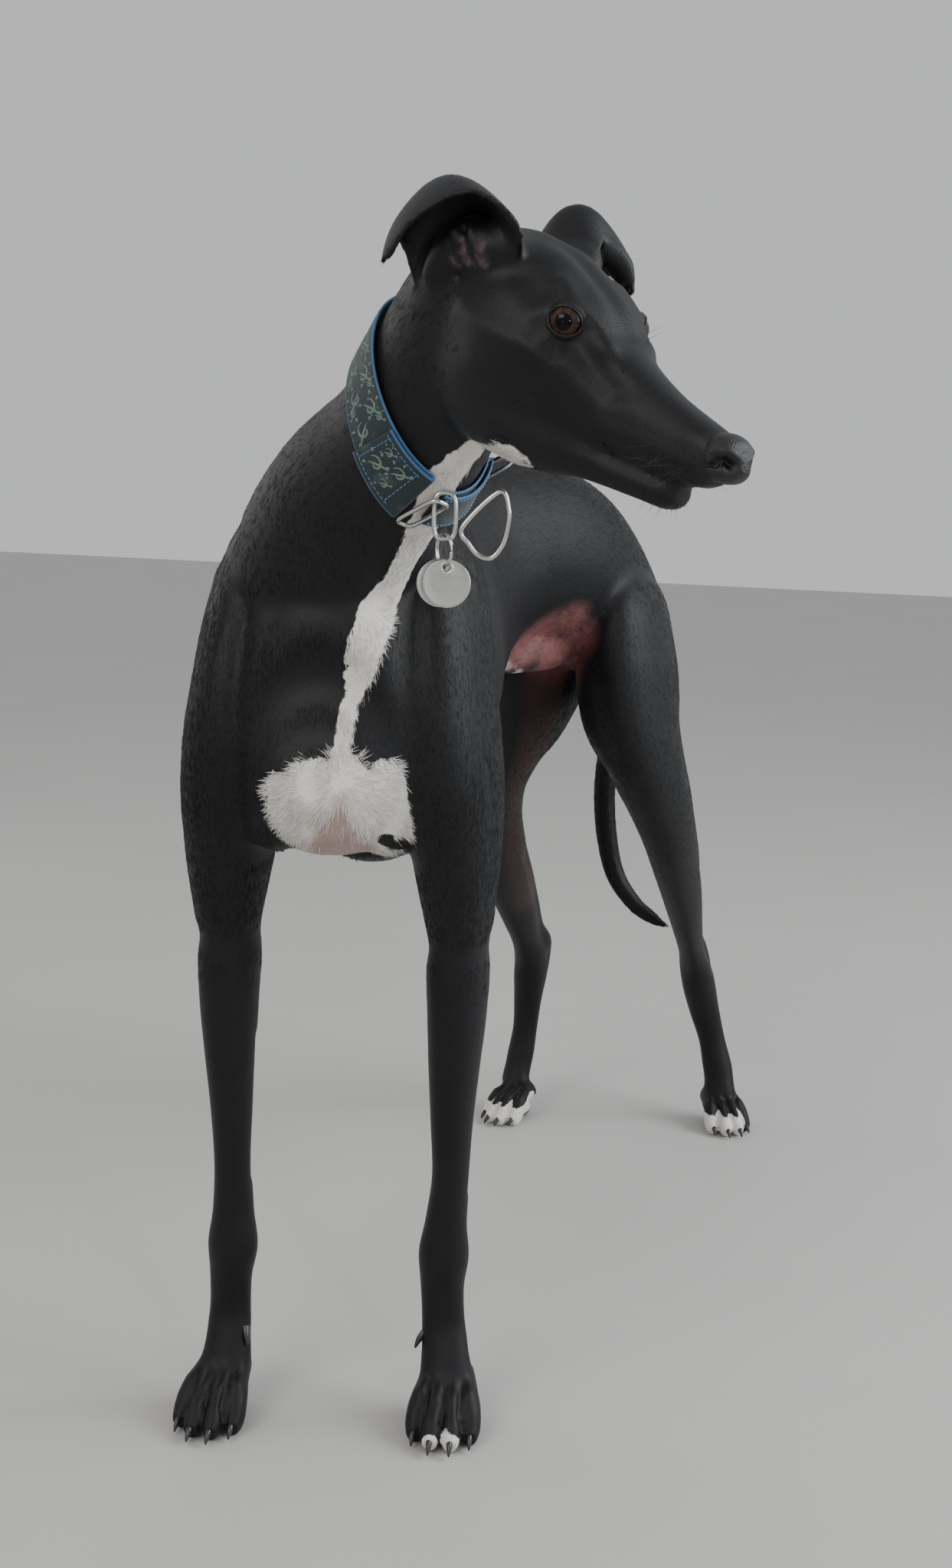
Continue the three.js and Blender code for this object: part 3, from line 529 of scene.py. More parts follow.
def slab(grid, thickness):
    """A sheet given thickness, more at its root and less towards its free rims, closed all round."""
    rows, columns, _ = grid.shape
    v = np.linspace(0, 1, columns)[None]
    u = np.linspace(0, 1, rows)[:, None]
    inset = np.minimum(np.minimum(v, 1 - v), 1 - u)
    rim = np.minimum(1, 0.75 + 2 * inset) + EAR_ROOT * (1 - ease(0, 0.55, u))
    push = sheet_normals(grid) * (rim * thickness / 2)[..., None]
    both = np.concatenate([grid + push, (grid - push)[:, ::-1]], 1)
    j = np.arange(columns - 1)
    first = np.stack([j + 1, j, 2 * columns - 1 - j, 2 * columns - 2 - j], -1)
    last = first[:, ::-1] + (rows - 1) * 2 * columns
    quads = np.concatenate([grid_faces(rows, 2 * columns, True), first, last])
    return outward(both.reshape(-1, 3), quads, np.zeros((0, 3), int))


MASSES = []


def add_mass(name, rows, up, lie=1, up_end=None, sides=40, steps=8):
    """Keep a mass as its rings, inside the true outline by the coat's depth, with the lie of its hair."""
    grid, along = rings(rows, up, up_end, sides, steps, -COAT_DEPTH)
    flow = np.repeat(along[:, None] * lie, grid.shape[1], 1)
    MASSES.append({"name": name, "grid": grid, "flow": flow, "shape": capped(grid)})


FORE_UP = [math.sin(FORE_YAW), -math.cos(FORE_YAW), 0]
HEAD_UP = head_aim([0, 0, 1])
add_mass("trunk", TRUNK, UP, sides=72, steps=8)
add_mass("neck", NECK, NAPE_LOW, -1, NAPE_HIGH, sides=56, steps=8)
for hand in (-1, 1):
    add_mass("shoulder", [[*fore(hand * s, f), *rest] for s, f, *rest in SHOULDER], FORE_UP, sides=48)
    add_mass("foreleg", FORELEG[hand], [0.15, -1, 0], sides=36)
    add_mass("hindleg", HINDLEG[hand], HIND_UP[hand], sides=44)
    x, y = fore(hand * 40, -30)
    breast = [[x, y, 536 + rise, *sizes] for rise, *sizes in BREAST]
    add_mass("breast", breast, FORE_UP, sides=40, steps=6)
add_mass("sheath", SHEATH, UP, sides=28)
add_mass("tail", TAIL, [0, 1, 0], sides=28)
add_mass("skull", head_rows(SKULL), HEAD_UP, sides=64)
add_mass("jaw", head_rows(JAW), HEAD_UP, sides=48)
for paw in PAWS.values():
    for side in TOES:
        add_mass("toe", toe_rows(paw, side), UP, sides=20, steps=5)
    tip, yaw, size = paw
    pad = [[*paw_place(tip, yaw, size, 0, forwards, height), *sizes] for forwards, height, *sizes in PAD]
    add_mass("pad", pad, UP, sides=20, steps=5)
CONCHES = []
for hand in (-1, 1):
    conch = [[*head_point([hand * out, back, level]), *sizes] for out, back, level, *sizes in CONCH]
    add_mass("conch", conch, HEAD_UP, sides=24, steps=6)
    CONCHES.append([row[:3] for row in conch])
add_mass("ear_fold", [[*head_point(row[:3]), *row[3:]] for row in EAR_FOLD], HEAD_UP, sides=16, steps=6)
for hand, rims in EARS.items():
    sheet = ear_grid(*rims)
    flow = np.gradient(sheet, axis=0)
    MASSES.append({"name": "ear", "grid": sheet, "flow": unit(flow), "shape": slab(sheet, EAR_THICKNESS)})


# One skin over all the masses
def neighbour_mean(points, edges, count):
    """The average of the points joined to each point by an edge."""
    total = np.empty_like(points)
    for axis in range(3):
        total[:, axis] = np.bincount(edges[:, 0], points[edges[:, 1], axis], len(points))
        total[:, axis] += np.bincount(edges[:, 1], points[edges[:, 0], axis], len(points))
    return total / count[:, None]


def nearest_mass(points):
    """For each point, which sample of the masses lies nearest: the least |p|^2 - 2 p.q + |q|^2."""
    targets = SAMPLES.astype(np.float32)
    squares = (targets**2).sum(1)
    best = np.empty(len(points), int)
    for start in range(0, len(points), 2000):
        block = points[start:start + 2000].astype(np.float32)
        best[start:start + 2000] = np.argmin(squares - 2 * block @ targets.T, axis=1)
    return best


def tiles():
    """Each mass has a square tile of the unwrap; along it u is the way round and v the way along."""
    side = math.ceil(math.sqrt(len(MASSES)))
    places, flows, unwraps, names = [], [], [], []
    for k, mass in enumerate(MASSES):
        rows, columns, _ = mass["grid"].shape
        step = (max(1, rows // 28), max(1, columns // 12))
        u, v = np.meshgrid(np.linspace(0, 1, columns), np.linspace(0, 1, rows))
        corner = np.array([k % side, k // side]) / side
        tile = corner + (0.05 + 0.9 * np.stack([u, v], -1)) / side
        cut = (slice(None, None, step[0]), slice(None, None, step[1]))
        places.append(mass["grid"][cut].reshape(-1, 3))
        flows.append(mass["flow"][cut].reshape(-1, 3))
        unwraps.append(tile[cut].reshape(-1, 2))
        names += [mass["name"]] * len(places[-1])
    return np.concatenate(places), np.concatenate(flows), np.concatenate(unwraps), np.array(names)


SAMPLES, SAMPLE_FLOW, SAMPLE_TILE, SAMPLE_NAME = tiles()


def distance_to(points, path):
    """The least distance from each point to a line through a few places, and how far along it is."""
    path = np.asarray(path, float)
    if len(path) == 1:
        return np.linalg.norm(points - path[0], axis=1), np.zeros(len(points))
    best = np.full(len(points), 1e9)
    where = np.zeros(len(points))
    for k in range(len(path) - 1):
        a, b = path[k], path[k + 1]
        t = np.clip(((points - a) @ (b - a)) / ((b - a) @ (b - a)), 0, 1)
        distance = np.linalg.norm(points - a - t[:, None] * (b - a), axis=1)
        nearer = distance < best
        best = np.where(nearer, distance, best)
        where = np.where(nearer, k + t, where)
    return best, where


# Paths on the head and the forequarters
def head_path(*places):
    """Places on the head, as a path in the dog's millimetres."""
    return [head_point(p) for p in places]


def side_path(hand, *places):
    """The same for one side of the head: -1 is the dog's right and 1 its left."""
    return [head_point([hand * out, back, level]) for out, back, level in places]


def fore_path(hand, *places):
    """Places sideways, back and up on one side of the turned forequarters."""
    return [[*fore(hand * sideways, back), level] for sideways, back, level in places]


# Strokes on the skin: a path in millimetres, how wide, and how far out or in.
# First the head, from brow to muzzle: brow, hollow before the eye, cheek bone, temple, jaw muscle, lip,
# side of the muzzle; then the ridge of the shoulder blade, the furrows round the upper arm and the elbow.
STROKES = []
for hand in (-1, 1):
    STROKES += [
        (side_path(hand, [20, 108, 24], [29, 122, 38], [31, 138, 42], [27, 150, 46]), 8, 3.6),
        (side_path(hand, [32, 116, 20], [30, 104, 12], [27, 90, 6]), 9, -4.0),
        (side_path(hand, [42, 140, 8], [50, 158, 6], [53, 178, 6], [48, 198, 8]), 8, 3.0),
        (side_path(hand, [38, 158, 38], [36, 184, 44]), 11, -3.2),
        (side_path(hand, [48, 176, -20], [46, 194, -34]), 19, 2.6),
        (side_path(hand, [17, 30, -12], [19, 60, -14], [24, 88, -18]), 6, 1.2),
        (side_path(hand, [16, 44, 6], [20, 80, 10]), 8, -1.0),
        (fore_path(hand, [92, 2, 650], [100, -8, 600], [110, -16, 550]), 9, 1.6),
        (fore_path(hand, [118, 26, 530], [118, 20, 480], [108, 10, 420]), 9, -2.4),
        (fore_path(hand, [116, -34, 520], [112, -22, 460], [104, -14, 410]), 9, -1.6),
        (fore_path(hand, [88, 40, 398]), 10, 3.5),
    ]
SKIN_FOLD = []

# The mouth line on each side, from under the nose to its corner
MOUTH = [
    [0, 22, -24], [9, 24, -24.5], [15, 32, -25], [19, 48, -26.5],
    [23, 68, -28.5], [27, 88, -31], [29, 97, -33],
]
for hand in (-1, 1):
    above = side_path(hand, *([out, back, level + 3.4] for out, back, level in MOUTH[1:]))
    SKIN_FOLD += [(side_path(hand, *MOUTH), 2.0, -2.4), (above, 2.6, 0.7)]
# Edges of the ears' openings, the furrow and bump on top of the skull, and the middle of the breast
for hand in (-1, 1):
    STROKES += [
        (side_path(hand, [52, 204, 44], [54, 210, 54], [50, 214, 62]), 2.6, 2.2),
        (side_path(hand, [54, 216, 42], [57, 222, 50]), 2.4, 2.0),
        (side_path(hand, [53, 209, 42], [55, 215, 53]), 2.4, -3.4),
    ]
STROKES += [
    (head_path([0, 112, 36], [0, 140, 50], [0, 178, 58]), 8, -2.4),
    (head_path([0, 200, 60], [0, 228, 52]), 8, 1.8),
    (fore_path(1, [0, -94, 566], [0, -98, 520], [0, -92, 470]), 9, -2.6),
]
# Point of the hock, knee cap, furrow of the thigh and hip, then the hollows before the hock's tendon
for hand, side in HINDLEG.items():
    x, y, z = side[11][:3]
    STROKES += [
        ([[x, y + 30, z + 4]], 11, 3.0),
        ([[side[4][0], side[4][1] - 70, side[4][2] - 10]], 14, 3.0),
        ([[side[2][0] + hand * 46, side[2][1] + 10, 590], [side[3][0] + hand * 44, side[3][1] + 20, 500],
          [side[4][0] + hand * 38, side[4][1] + 14, 430]], 11, -2.4),
        ([[side[1][0] + hand * 20, 170, 690]], 14, 2.5),
    ]
    for face in (-1, 1):
        hollow = [[row[0] + face * row[3] * 0.8, row[1] + row[5] * 0.45, row[2]] for row in side[7:12]]
        STROKES.append((hollow, 8, -3.6))
# The pad behind the wrist and a furrow on each side of the forearm
for leg in FORELEG.values():
    STROKES += [
        ([[leg[7][0], leg[7][1] + 20, 124]], 7, 5.0),
        ([[leg[4][0] + 14, leg[4][1] + 8, 300], [leg[5][0] + 13, leg[5][1] + 8, 190]], 6, -1.6),
        ([[leg[4][0] - 14, leg[4][1] + 8, 300], [leg[5][0] - 13, leg[5][1] + 8, 190]], 6, -1.6),
    ]
# Grooves between the toes, and their knuckles
for tip, yaw, size in PAWS.values():
    for side in (-0.7, 0, 0.7):
        groove = [paw_place(tip, yaw, size, side * TOE_SPREAD * apart, forwards, height)
                  for apart, forwards, height in (
                      (0.85, 4, 41), (0.95, 22, 35), (1.0, 34, 24), (1.05, 40 - 6 * abs(side), 12))]
        STROKES.append((groove, 3.0, -3.2))
    for side in TOES:
        forwards = 25 + outer_toe(side) * 0.7
        STROKES.append(([paw_place(tip, yaw, size, side * TOE_SPREAD * 0.95, forwards, 35)], 6, 1.8))
# Ribs
for k in range(6):
    y = -120 + 30 * k
    x = float(np.interp(y, BACK[:, 0], BACK[:, 1]))
    for hand in (-1, 1):
        rib = [[x + hand * 70, y - 30, 660], [x + hand * 96, y, 590], [x + hand * 88, y - 14, 500]]
        STROKES.append((rib, 7, 0.9))


def press(points, directions, strokes):
    """Move points along their directions by height * exp(-(distance / width)^2) for each stroke."""
    for path, width, height in strokes:
        path = np.asarray(path, float)
        reach = 2.6 * width
        near = np.all((points > path.min(0) - reach) & (points < path.max(0) + reach), axis=1)
        index = np.nonzero(near)[0]
        if len(index):
            distance, _ = distance_to(points[index], path)
            points[index] += directions[index] * (height * np.exp(-((distance / width) ** 2)))[:, None]


def eye_frame(hand):
    """The eye's middle and its own across, up and look directions."""
    middle = head_point(EYE_PLACE * [hand, 1, 1])
    look = unit(head_aim(EYE_LOOK * [hand, 1, 1]))
    across = unit(np.cross(head_aim([0, 0, 1]), look))
    return middle, across, np.cross(look, across), look


def lid_edge(angle):
    """The almond of the open lids, as how far across and up on the ball at each angle."""
    c, s = np.cos(angle), np.sin(angle)
    height = np.where(s > 0, LID_ABOVE, LID_BELOW)
    return LID_HALF * np.sign(c) * np.abs(c) ** 0.95, height * np.sign(s) * np.abs(s) ** 1.15


def open_lids(points):
    """Round each eye the skin lies on a ball a little larger than the eye, and within the lids behind it."""
    for hand in (-1, 1):
        middle, across, up, look = eye_frame(hand)
        index = np.nonzero(np.linalg.norm(points - middle, axis=1) < LID_REACH)[0]
        offset = points[index] - middle
        radius = np.linalg.norm(offset, axis=1)
        facing = offset / radius[:, None]
        x, y = facing @ across * EYE_RADIUS, facing @ up * EYE_RADIUS
        height = np.where(y > 0, LID_ABOVE, LID_BELOW)
        edge = (np.abs(x) / LID_HALF) ** 2 + (np.abs(y) / height) ** 2
        edge = edge + 6 * (1 - ease(0.0, 0.5, facing @ look))
        hold = 1 - ease(1.2, 4.2, edge)
        outside = radius + (EYE_RADIUS + LID_THICK - radius) * hold
        inside = np.minimum(radius, EYE_RADIUS - LID_INSIDE)
        new = np.where(edge < 1.0, inside, outside)
        points[index] = middle + facing * new[:, None]


def make_skin():
    """All masses joined by a fine remesh; hollows between them filled by moving points only outwards,
    towards their neighbours' average; then smoothed, most at the nape and above the toes, pressed and
    thinned."""
    raw = build("skin_raw", in_metres(joined([mass["shape"] for mass in MASSES])))
    voxels = raw.modifiers.new("Remesh", "REMESH")
    voxels.mode = "VOXEL"
    voxels.voxel_size = VOXEL
    mesh = bpy.data.meshes.new_from_object(raw.evaluated_get(bpy.context.evaluated_depsgraph_get()))
    bpy.data.objects.remove(raw)
    points = coordinates(mesh) * 1000 + MIDDLE
    edges = np.empty(len(mesh.edges) * 2, np.int32)
    mesh.edges.foreach_get("vertices", edges)
    edges = edges.reshape(-1, 2)
    count = np.maximum(np.bincount(edges.ravel(), minlength=len(points)), 1)

    back = ((points - NOSE_TIP) @ HEAD_TURN)[:, 1]
    face = painted(points, [(head_path([0, 20, -6], [0, 90, -6], [0, 150, -2]), [30, 44, 66])], 10)
    ears = painted(points, [(head_point(line[2:]), 11) for rims in EARS.values() for line in rims], 4)
    fill = (1 - 0.5 * face * (1 - ease(150, 200, back))) * (1 - ears) * ease(26, 52, points[:, 2])
    cuff = ease(24, 36, points[:, 2]) * (1 - ease(56, 72, points[:, 2]))
    nape = painted(points, [(head_path([0, 205, 20], [0, 215, -30]), [64, 70])], 14)
    nape *= ease(172, 200, back) * (1 - painted(points, [(line, 24) for line in CONCHES], 6))
    fill = neighbour_mean(np.repeat(fill[:, None], 3, 1), edges, count)[:, 0]

    def directions():
        mesh.vertices.foreach_set("co", np.ravel(metres(points)).astype(np.float32))
        mesh.update()
        return normals(mesh)

    for round_ in range(FILL_ROUNDS):
        if round_ % NORMAL_ROUNDS == 0:
            out = directions()
        rise = ((neighbour_mean(points, edges, count) - points) * out).sum(1)
        points += out * (np.maximum(rise, 0) * fill)[:, None]
    for round_ in range(SMOOTH_ROUNDS):
        points += SMOOTH_IN * (neighbour_mean(points, edges, count) - points)
        points -= SMOOTH_OUT * (neighbour_mean(points, edges, count) - points)
    for round_ in range(NAPE_ROUNDS):
        soft = np.maximum(nape, cuff * (round_ < CUFF_ROUNDS))
        points += soft[:, None] * (neighbour_mean(points, edges, count) - points)
    press(points, directions(), STROKES)
    open_lids(points)
    press(points, directions(), SKIN_FOLD)
    low = points[:, 2] < FLOOR + 1.6
    points[low, 2] = FLOOR + 1.6
    directions()
    piece = bpy.data.objects.new("skin", mesh)
    bpy.context.scene.collection.objects.link(piece)
    thin = piece.modifiers.new("Decimate", "DECIMATE")
    thin.ratio = min(1.0, SKIN_TRIANGLES / (2 * len(mesh.polygons)))
    thinned = bpy.data.meshes.new_from_object(piece.evaluated_get(bpy.context.evaluated_depsgraph_get()))
    piece.modifiers.clear()
    piece.data = thinned
    bpy.data.meshes.remove(mesh)
    thinned.polygons.foreach_set("use_smooth", np.ones(len(thinned.polygons), bool))
    return piece


# Markings, each a path with its own half widths, in millimetres on the body
STRIPE = [
    [94, -386, 712, 13], [80, -372, 694, 14], [62, -356, 672, 13], [46, -346, 650, 12], [36, -355, 630, 13],
    [32, -368, 604, 12], [28, -374, 578, 10], [24, -380, 556, 8], [24, -386, 540, 9],
]
BIB = [
    ([[-14, -396, 508], [-12, -396, 490], [-4, -386, 460], [0, -362, 448]], 15),
    ([[10, -398, 518], [10, -398, 494], [12, -376, 450], [14, -352, 446]], 19),
    ([[30, -390, 520], [30, -388, 494], [32, -362, 452], [30, -346, 448]], 19),
    ([[50, -366, 518], [49, -360, 500], [44, -342, 468]], 15),
]
WHORL = np.array([28.0, -392.0, 520.0])
BARE_CHEST = [([[28, -389, 508], [24, -387, 490], [17, -376, 468], [13, -358, 455]], [2, 10, 21, 27])]
# Dark tufts in the white; the narrow last one is a black line of painted shade in the groove at the bottom
# middle of the breast
DARK_TUFTS_AND_GROOVE_SHADE = [
    ([[40, -348, 474], [52, -336, 466]], 6), ([[-24, -380, 464], [-18, -370, 452]], 6),
    ([[16, -370, 458], [15, -352, 450]], 2.5),
]
THROAT = [([[92, -386, 716], [104, -392, 727], [118, -392, 735], [140, -415, 737], [166, -440, 737]], 13)]
# Three folds inside each ear, coloured pink: partly the inner ear's own skin, partly painted highlight where
# the folds catch the light
EAR_FOLD_PINK_AND_HIGHLIGHT = [([48, 196, 36], [50, 200, 46]), ([50, 205, 32], [52, 211, 44]), ([50, 215, 30], [53, 221, 40])]
# Bare pink-red skin of the groin, its colour darkened with painted shade between the thighs and under the
# belly
GROIN = [
    ([[-22, 72, 560], [-2, 100, 578], [14, 122, 586]], 18),
    ([[-10, 124, 552], [-14, 160, 545], [-4, 190, 540]], 26),
    ([[10, 146, 574], [16, 176, 556]], 18),
]
SHEATH_TIP = [([[-26, 84, 548], [-34, 62, 552]], 9)]
INNER_THIGH = [
    ([[-32, 176, 540], [-46, 190, 480], [-64, 206, 420], [-84, 250, 350], [-90, 300, 290]], 30),
    ([[14, 190, 540], [4, 206, 480], [26, 226, 430]], 22),
]
# The toes with white ends, each with the place along it where the white starts
WHITE_TOES = {
    "front_left": {-0.36: 49, 0.36: 39}, "hind_right": {-1: 6, -0.36: 6, 0.36: 6, 1: 6},
    "hind_left": {-1: 24, -0.36: 10, 0.36: 10},
}


def painted(points, patches, soft):
    """1 on each path and out to its half width, easing to 0 over a soft edge."""
    mask = np.zeros(len(points))
    for path, half in patches:
        distance, where = distance_to(points, path)
        width = np.interp(where, np.arange(len(half)), half) if np.ndim(half) else half
        mask = np.maximum(mask, 1 - ease(width - soft, width + soft, distance))
    return mask


def markings(points):
    """How white, bare, pink or brown each place is, and where the ears' ridges, nose and lips are."""
    stripe = np.array(STRIPE, float)
    white = painted(points, [(stripe[:, :3], stripe[:, 3]), *BIB], 3.5)
    white = np.maximum(white, 0.9 * painted(points, THROAT, 5))
    white = np.maximum(white, 0.8 * painted(points, SHEATH_TIP, 4))
    for name, toes in WHITE_TOES.items():
        tip, yaw, size = PAWS[name]
        half = 7.5 if name == "front_left" else 11.5
        for side, start in toes.items():
            s, outer = side * TOE_SPREAD, outer_toe(side)
            first = paw_place(tip, yaw, size, s, start + outer, 26 - start / 3)
            last = paw_place(tip, yaw, size, s * 1.1, 52 + outer, 6)
            white = np.maximum(white, painted(points, [([first, last], half)], 2.5))
    # Dark tufts and the breast groove's painted shade, taken out of the white
    white = np.clip(white - painted(points, DARK_TUFTS_AND_GROOVE_SHADE, 3), 0, 1)
    bare = painted(points, BARE_CHEST, 6) * 0.9
    groin = painted(points, GROIN, 11)
    brown = painted(points, INNER_THIGH, 14)
    # The inner ear's pink folds, partly painted highlight
    ears = [(side_path(hand, *ridge), 2.6) for ridge in EAR_FOLD_PINK_AND_HIGHLIGHT for hand in (-1, 1)]
    out, back, level = ((points - NOSE_TIP) @ HEAD_TURN).T
    edge_of_nose = 23 + 4 * ease(4, 14, np.abs(out)) - 9 * ease(2, 14, -level - 3)
    leather = (1 - ease(edge_of_nose - 1.2, edge_of_nose + 1.2, back)) * ease(-17, -15, level)
    lips = painted(points, [(side_path(hand, *MOUTH), 1.6) for hand in (-1, 1)], 1.4)
    return {
        "white": white, "bare": bare, "groin": groin, "brown": brown,
        "inner_ear": painted(points, ears, 2.6), "leather": np.maximum(leather, 0.8 * lips),
    }


# Materials
def material(name, roughness=0.5, **settings):
    """A Principled surface, with any plain numbers set on its own sockets."""
    made = bpy.data.materials.new(name)
    made.use_nodes = True
    shader = made.node_tree.nodes["Principled BSDF"]
    shader.inputs["Roughness"].default_value = roughness
    for key, value in settings.items():
        shader.inputs[key.replace("_", " ")].default_value = value
    return made, made.node_tree, shader


def node(tree, kind, inputs=(), **settings):
    """A shader node with its settings and, by socket number or name, its links or values."""
    made = tree.nodes.new(kind)
    for key, value in settings.items():
        setattr(made, key, value)
    for key, value in dict(inputs).items():
        if isinstance(value, bpy.types.NodeSocket):
            tree.links.new(value, made.inputs[key])
        else:
            made.inputs[key].default_value = value
    return made


def mix(tree, factor, a, b):
    """A colour between a and b by a factor from 0 to 1."""
    made = tree.nodes.new("ShaderNodeMix")
    made.data_type = "RGBA"
    pairs = ((made.inputs[0], factor), (made.inputs[6], a), (made.inputs[7], b))
    for socket, value in pairs:
        if isinstance(value, bpy.types.NodeSocket):
            tree.links.new(value, socket)
        else:
            socket.default_value = value
    return made.outputs[2]


def ramp(tree, value, low, high, start=0.0, end=1.0):
    """The value carried from low..high to start..end, held at both ends."""
    made = node(tree, "ShaderNodeMapRange", {0: value, 1: low, 2: high, 3: start, 4: end})
    made.clamp = True
    return made.outputs[0]


def noise(tree, coords, scale, detail=3.0, rough=0.55):
    """Fractal noise at so many cycles a metre."""
    inputs = {"Vector": coords, "Scale": scale, "Detail": detail, "Roughness": rough}
    return node(tree, "ShaderNodeTexNoise", inputs).outputs["Fac"]


def add_bump(tree, shader, height, depth, strength):
    """Bump the surface by a height, so many metres deep."""
    bump = node(tree, "ShaderNodeBump", {"Height": height, "Distance": depth, "Strength": strength})
    tree.links.new(bump.outputs[0], shader.inputs["Normal"])
    return bump


def maths(tree, operation, a, b=0.0):
    """The result of one operation on two numbers."""
    return node(tree, "ShaderNodeMath", {0: a, 1: b}, operation=operation).outputs[0]


BLACK_HAIR = (0.0026, 0.0026, 0.0031, 1)
# Lighter blue-grey hair: painted sheen, laid in broad random patches over the black
PAINTED_SHEEN_HAIR = (0.0062, 0.0066, 0.0082, 1)
WHITE_HAIR, CREAM_HAIR = (0.78, 0.76, 0.72, 1), (0.62, 0.58, 0.53, 1)
BARE_SKIN, BARE_SHADE = (0.34, 0.2, 0.175, 1), (0.27, 0.16, 0.14, 1)
# The groin's pink-red skin, partly its own colour and partly painted shade
GROIN_SKIN_IN_PAINTED_SHADE, GROIN_SHADE = (0.2, 0.08, 0.078, 1), (0.15, 0.058, 0.056, 1)
BROWN_SKIN = (0.05, 0.028, 0.027, 1)
# Pink of the inner ear on its folds, partly its own colour and partly painted highlight
EAR_SKIN, EAR_RIDGE = (0.07, 0.045, 0.046, 1), (0.2, 0.14, 0.14, 1)
# The nose leather's cobble tops, and the painted shade in the grooves between them
NOSE_HIGH, NOSE_GROOVE_PAINTED_SHADE = (0.016, 0.015, 0.017, 1), (0.006, 0.0058, 0.0065, 1)
# Painted shade in the nostrils
NOSTRIL_PAINTED_SHADE = (0.002, 0.002, 0.002, 1)
PUPIL, IRIS_RIM = (0.0012, 0.0012, 0.0015, 1), (0.008, 0.005, 0.004, 1)
IRIS_DARK, IRIS_LIGHT = (0.022, 0.011, 0.008, 1), (0.058, 0.031, 0.022, 1)
EYE_WHITE = (0.1, 0.07, 0.06, 1)


def coat_material(name, hair):
    """Black hair with brown and white marks from the attributes, their edges broken by fine noise."""
    made, tree, shader = material(name, 0.5, Specular_IOR_Level=0.28, Sheen_Weight=0.05)
    shader.inputs["Sheen Roughness"].default_value = 0.35
    shader.inputs["Sheen Tint"].default_value = (0.75, 0.8, 0.9, 1)
    coords = node(tree, "ShaderNodeTexCoord").outputs["Object"]
    fine = noise(tree, coords, 900.0, 2.0)
    middle = noise(tree, coords, 130.0, 3.0)
    broad = noise(tree, coords, 9.0, 3.0)
    # Painted sheen: broad random patches of lighter blue-grey hair over the black
    colour = mix(tree, ramp(tree, broad, 0.35, 0.7), BLACK_HAIR, PAINTED_SHEEN_HAIR)
    attribute = {key: node(tree, "ShaderNodeAttribute", attribute_name=key).outputs["Fac"]
                 for key in ("white", "bare", "groin", "brown", "inner_ear", "leather")}
    colour = mix(tree, attribute["brown"], colour, BROWN_SKIN)
    ragged = maths(tree, "MULTIPLY", maths(tree, "SUBTRACT", middle, 0.5), 0.9)
    edge = maths(tree, "ADD", attribute["white"], ragged)
    white = mix(tree, ramp(tree, fine, 0.35, 0.65), WHITE_HAIR, CREAM_HAIR)
    colour = mix(tree, ramp(tree, edge, 0.42, 0.6), colour, white)
    skin = mix(tree, ramp(tree, middle, 0.4, 0.7), BARE_SKIN, BARE_SHADE)
    colour = mix(tree, maths(tree, "MULTIPLY", attribute["bare"], 0.2 if hair else 0.95), colour, skin)
    # Groin: pink-red skin, darkened with painted shade
    groin = mix(tree, ramp(tree, middle, 0.35, 0.65), GROIN_SKIN_IN_PAINTED_SHADE, GROIN_SHADE)
    colour = mix(tree, maths(tree, "MULTIPLY", attribute["groin"], 0.6 if hair else 1.0), colour, groin)
    # Inner ear: pink laid only on the folds, partly its own colour and partly painted highlight
    ear = mix(tree, ramp(tree, noise(tree, coords, 260.0, 2.0), 0.4, 0.65), EAR_SKIN, EAR_RIDGE)
    colour = mix(tree, maths(tree, "MULTIPLY", attribute["inner_ear"], 0.75), colour, ear)
    # Bare nose leather on the skin: cobbled grain with painted shade in the grooves between the cobbles
    cells = node(tree, "ShaderNodeTexVoronoi", {"Vector": coords, "Scale": 1300.0}).outputs["Distance"]
    cobbles = mix(tree, ramp(tree, cells, 0.1, 0.7), NOSE_HIGH, NOSE_GROOVE_PAINTED_SHADE)
    colour = mix(tree, attribute["leather"], colour, cobbles)
    tree.links.new(colour, shader.inputs["Base Color"])
    if not hair:
        grain = node(tree, "ShaderNodeMapping", {"Vector": coords, "Scale": (1.0, 1.0, 0.35)}).outputs[0]
        strands = noise(tree, grain, 1100.0, 2.0, 0.7)
        height = maths(tree, "ADD", strands, maths(tree, "MULTIPLY", middle, 0.35))
        add_bump(tree, shader, height, 0.0005, 0.55)
    return made


def eye_material():
    """Colour by how far from the pupil: black pupil, brown iris with rays, dark rim, then brownish white."""
    made, tree, shader = material(
        "wet_eye", 0.05, Coat_Weight=0.1, Coat_Roughness=0.02, Specular_IOR_Level=0.12)
    ring = node(tree, "ShaderNodeAttribute", attribute_name="ring").outputs["Fac"]
    rays = node(tree, "ShaderNodeAttribute", attribute_name="rays").outputs["Fac"]
    grain = noise(tree, node(tree, "ShaderNodeTexCoord").outputs["Object"], 1500.0, 2.0)
    streaks = maths(tree, "ADD", maths(tree, "MULTIPLY", rays, 0.35), grain)
    iris = mix(tree, ramp(tree, streaks, 0.45, 0.95), IRIS_DARK, IRIS_LIGHT)
    colour = mix(tree, ramp(tree, ring, 0.42, 0.49), PUPIL, iris)
    colour = mix(tree, ramp(tree, ring, 0.76, 0.9), colour, IRIS_RIM)
    colour = mix(tree, ramp(tree, ring, 1.0, 1.1), colour, EYE_WHITE)
    tree.links.new(colour, shader.inputs["Base Color"])
    return made


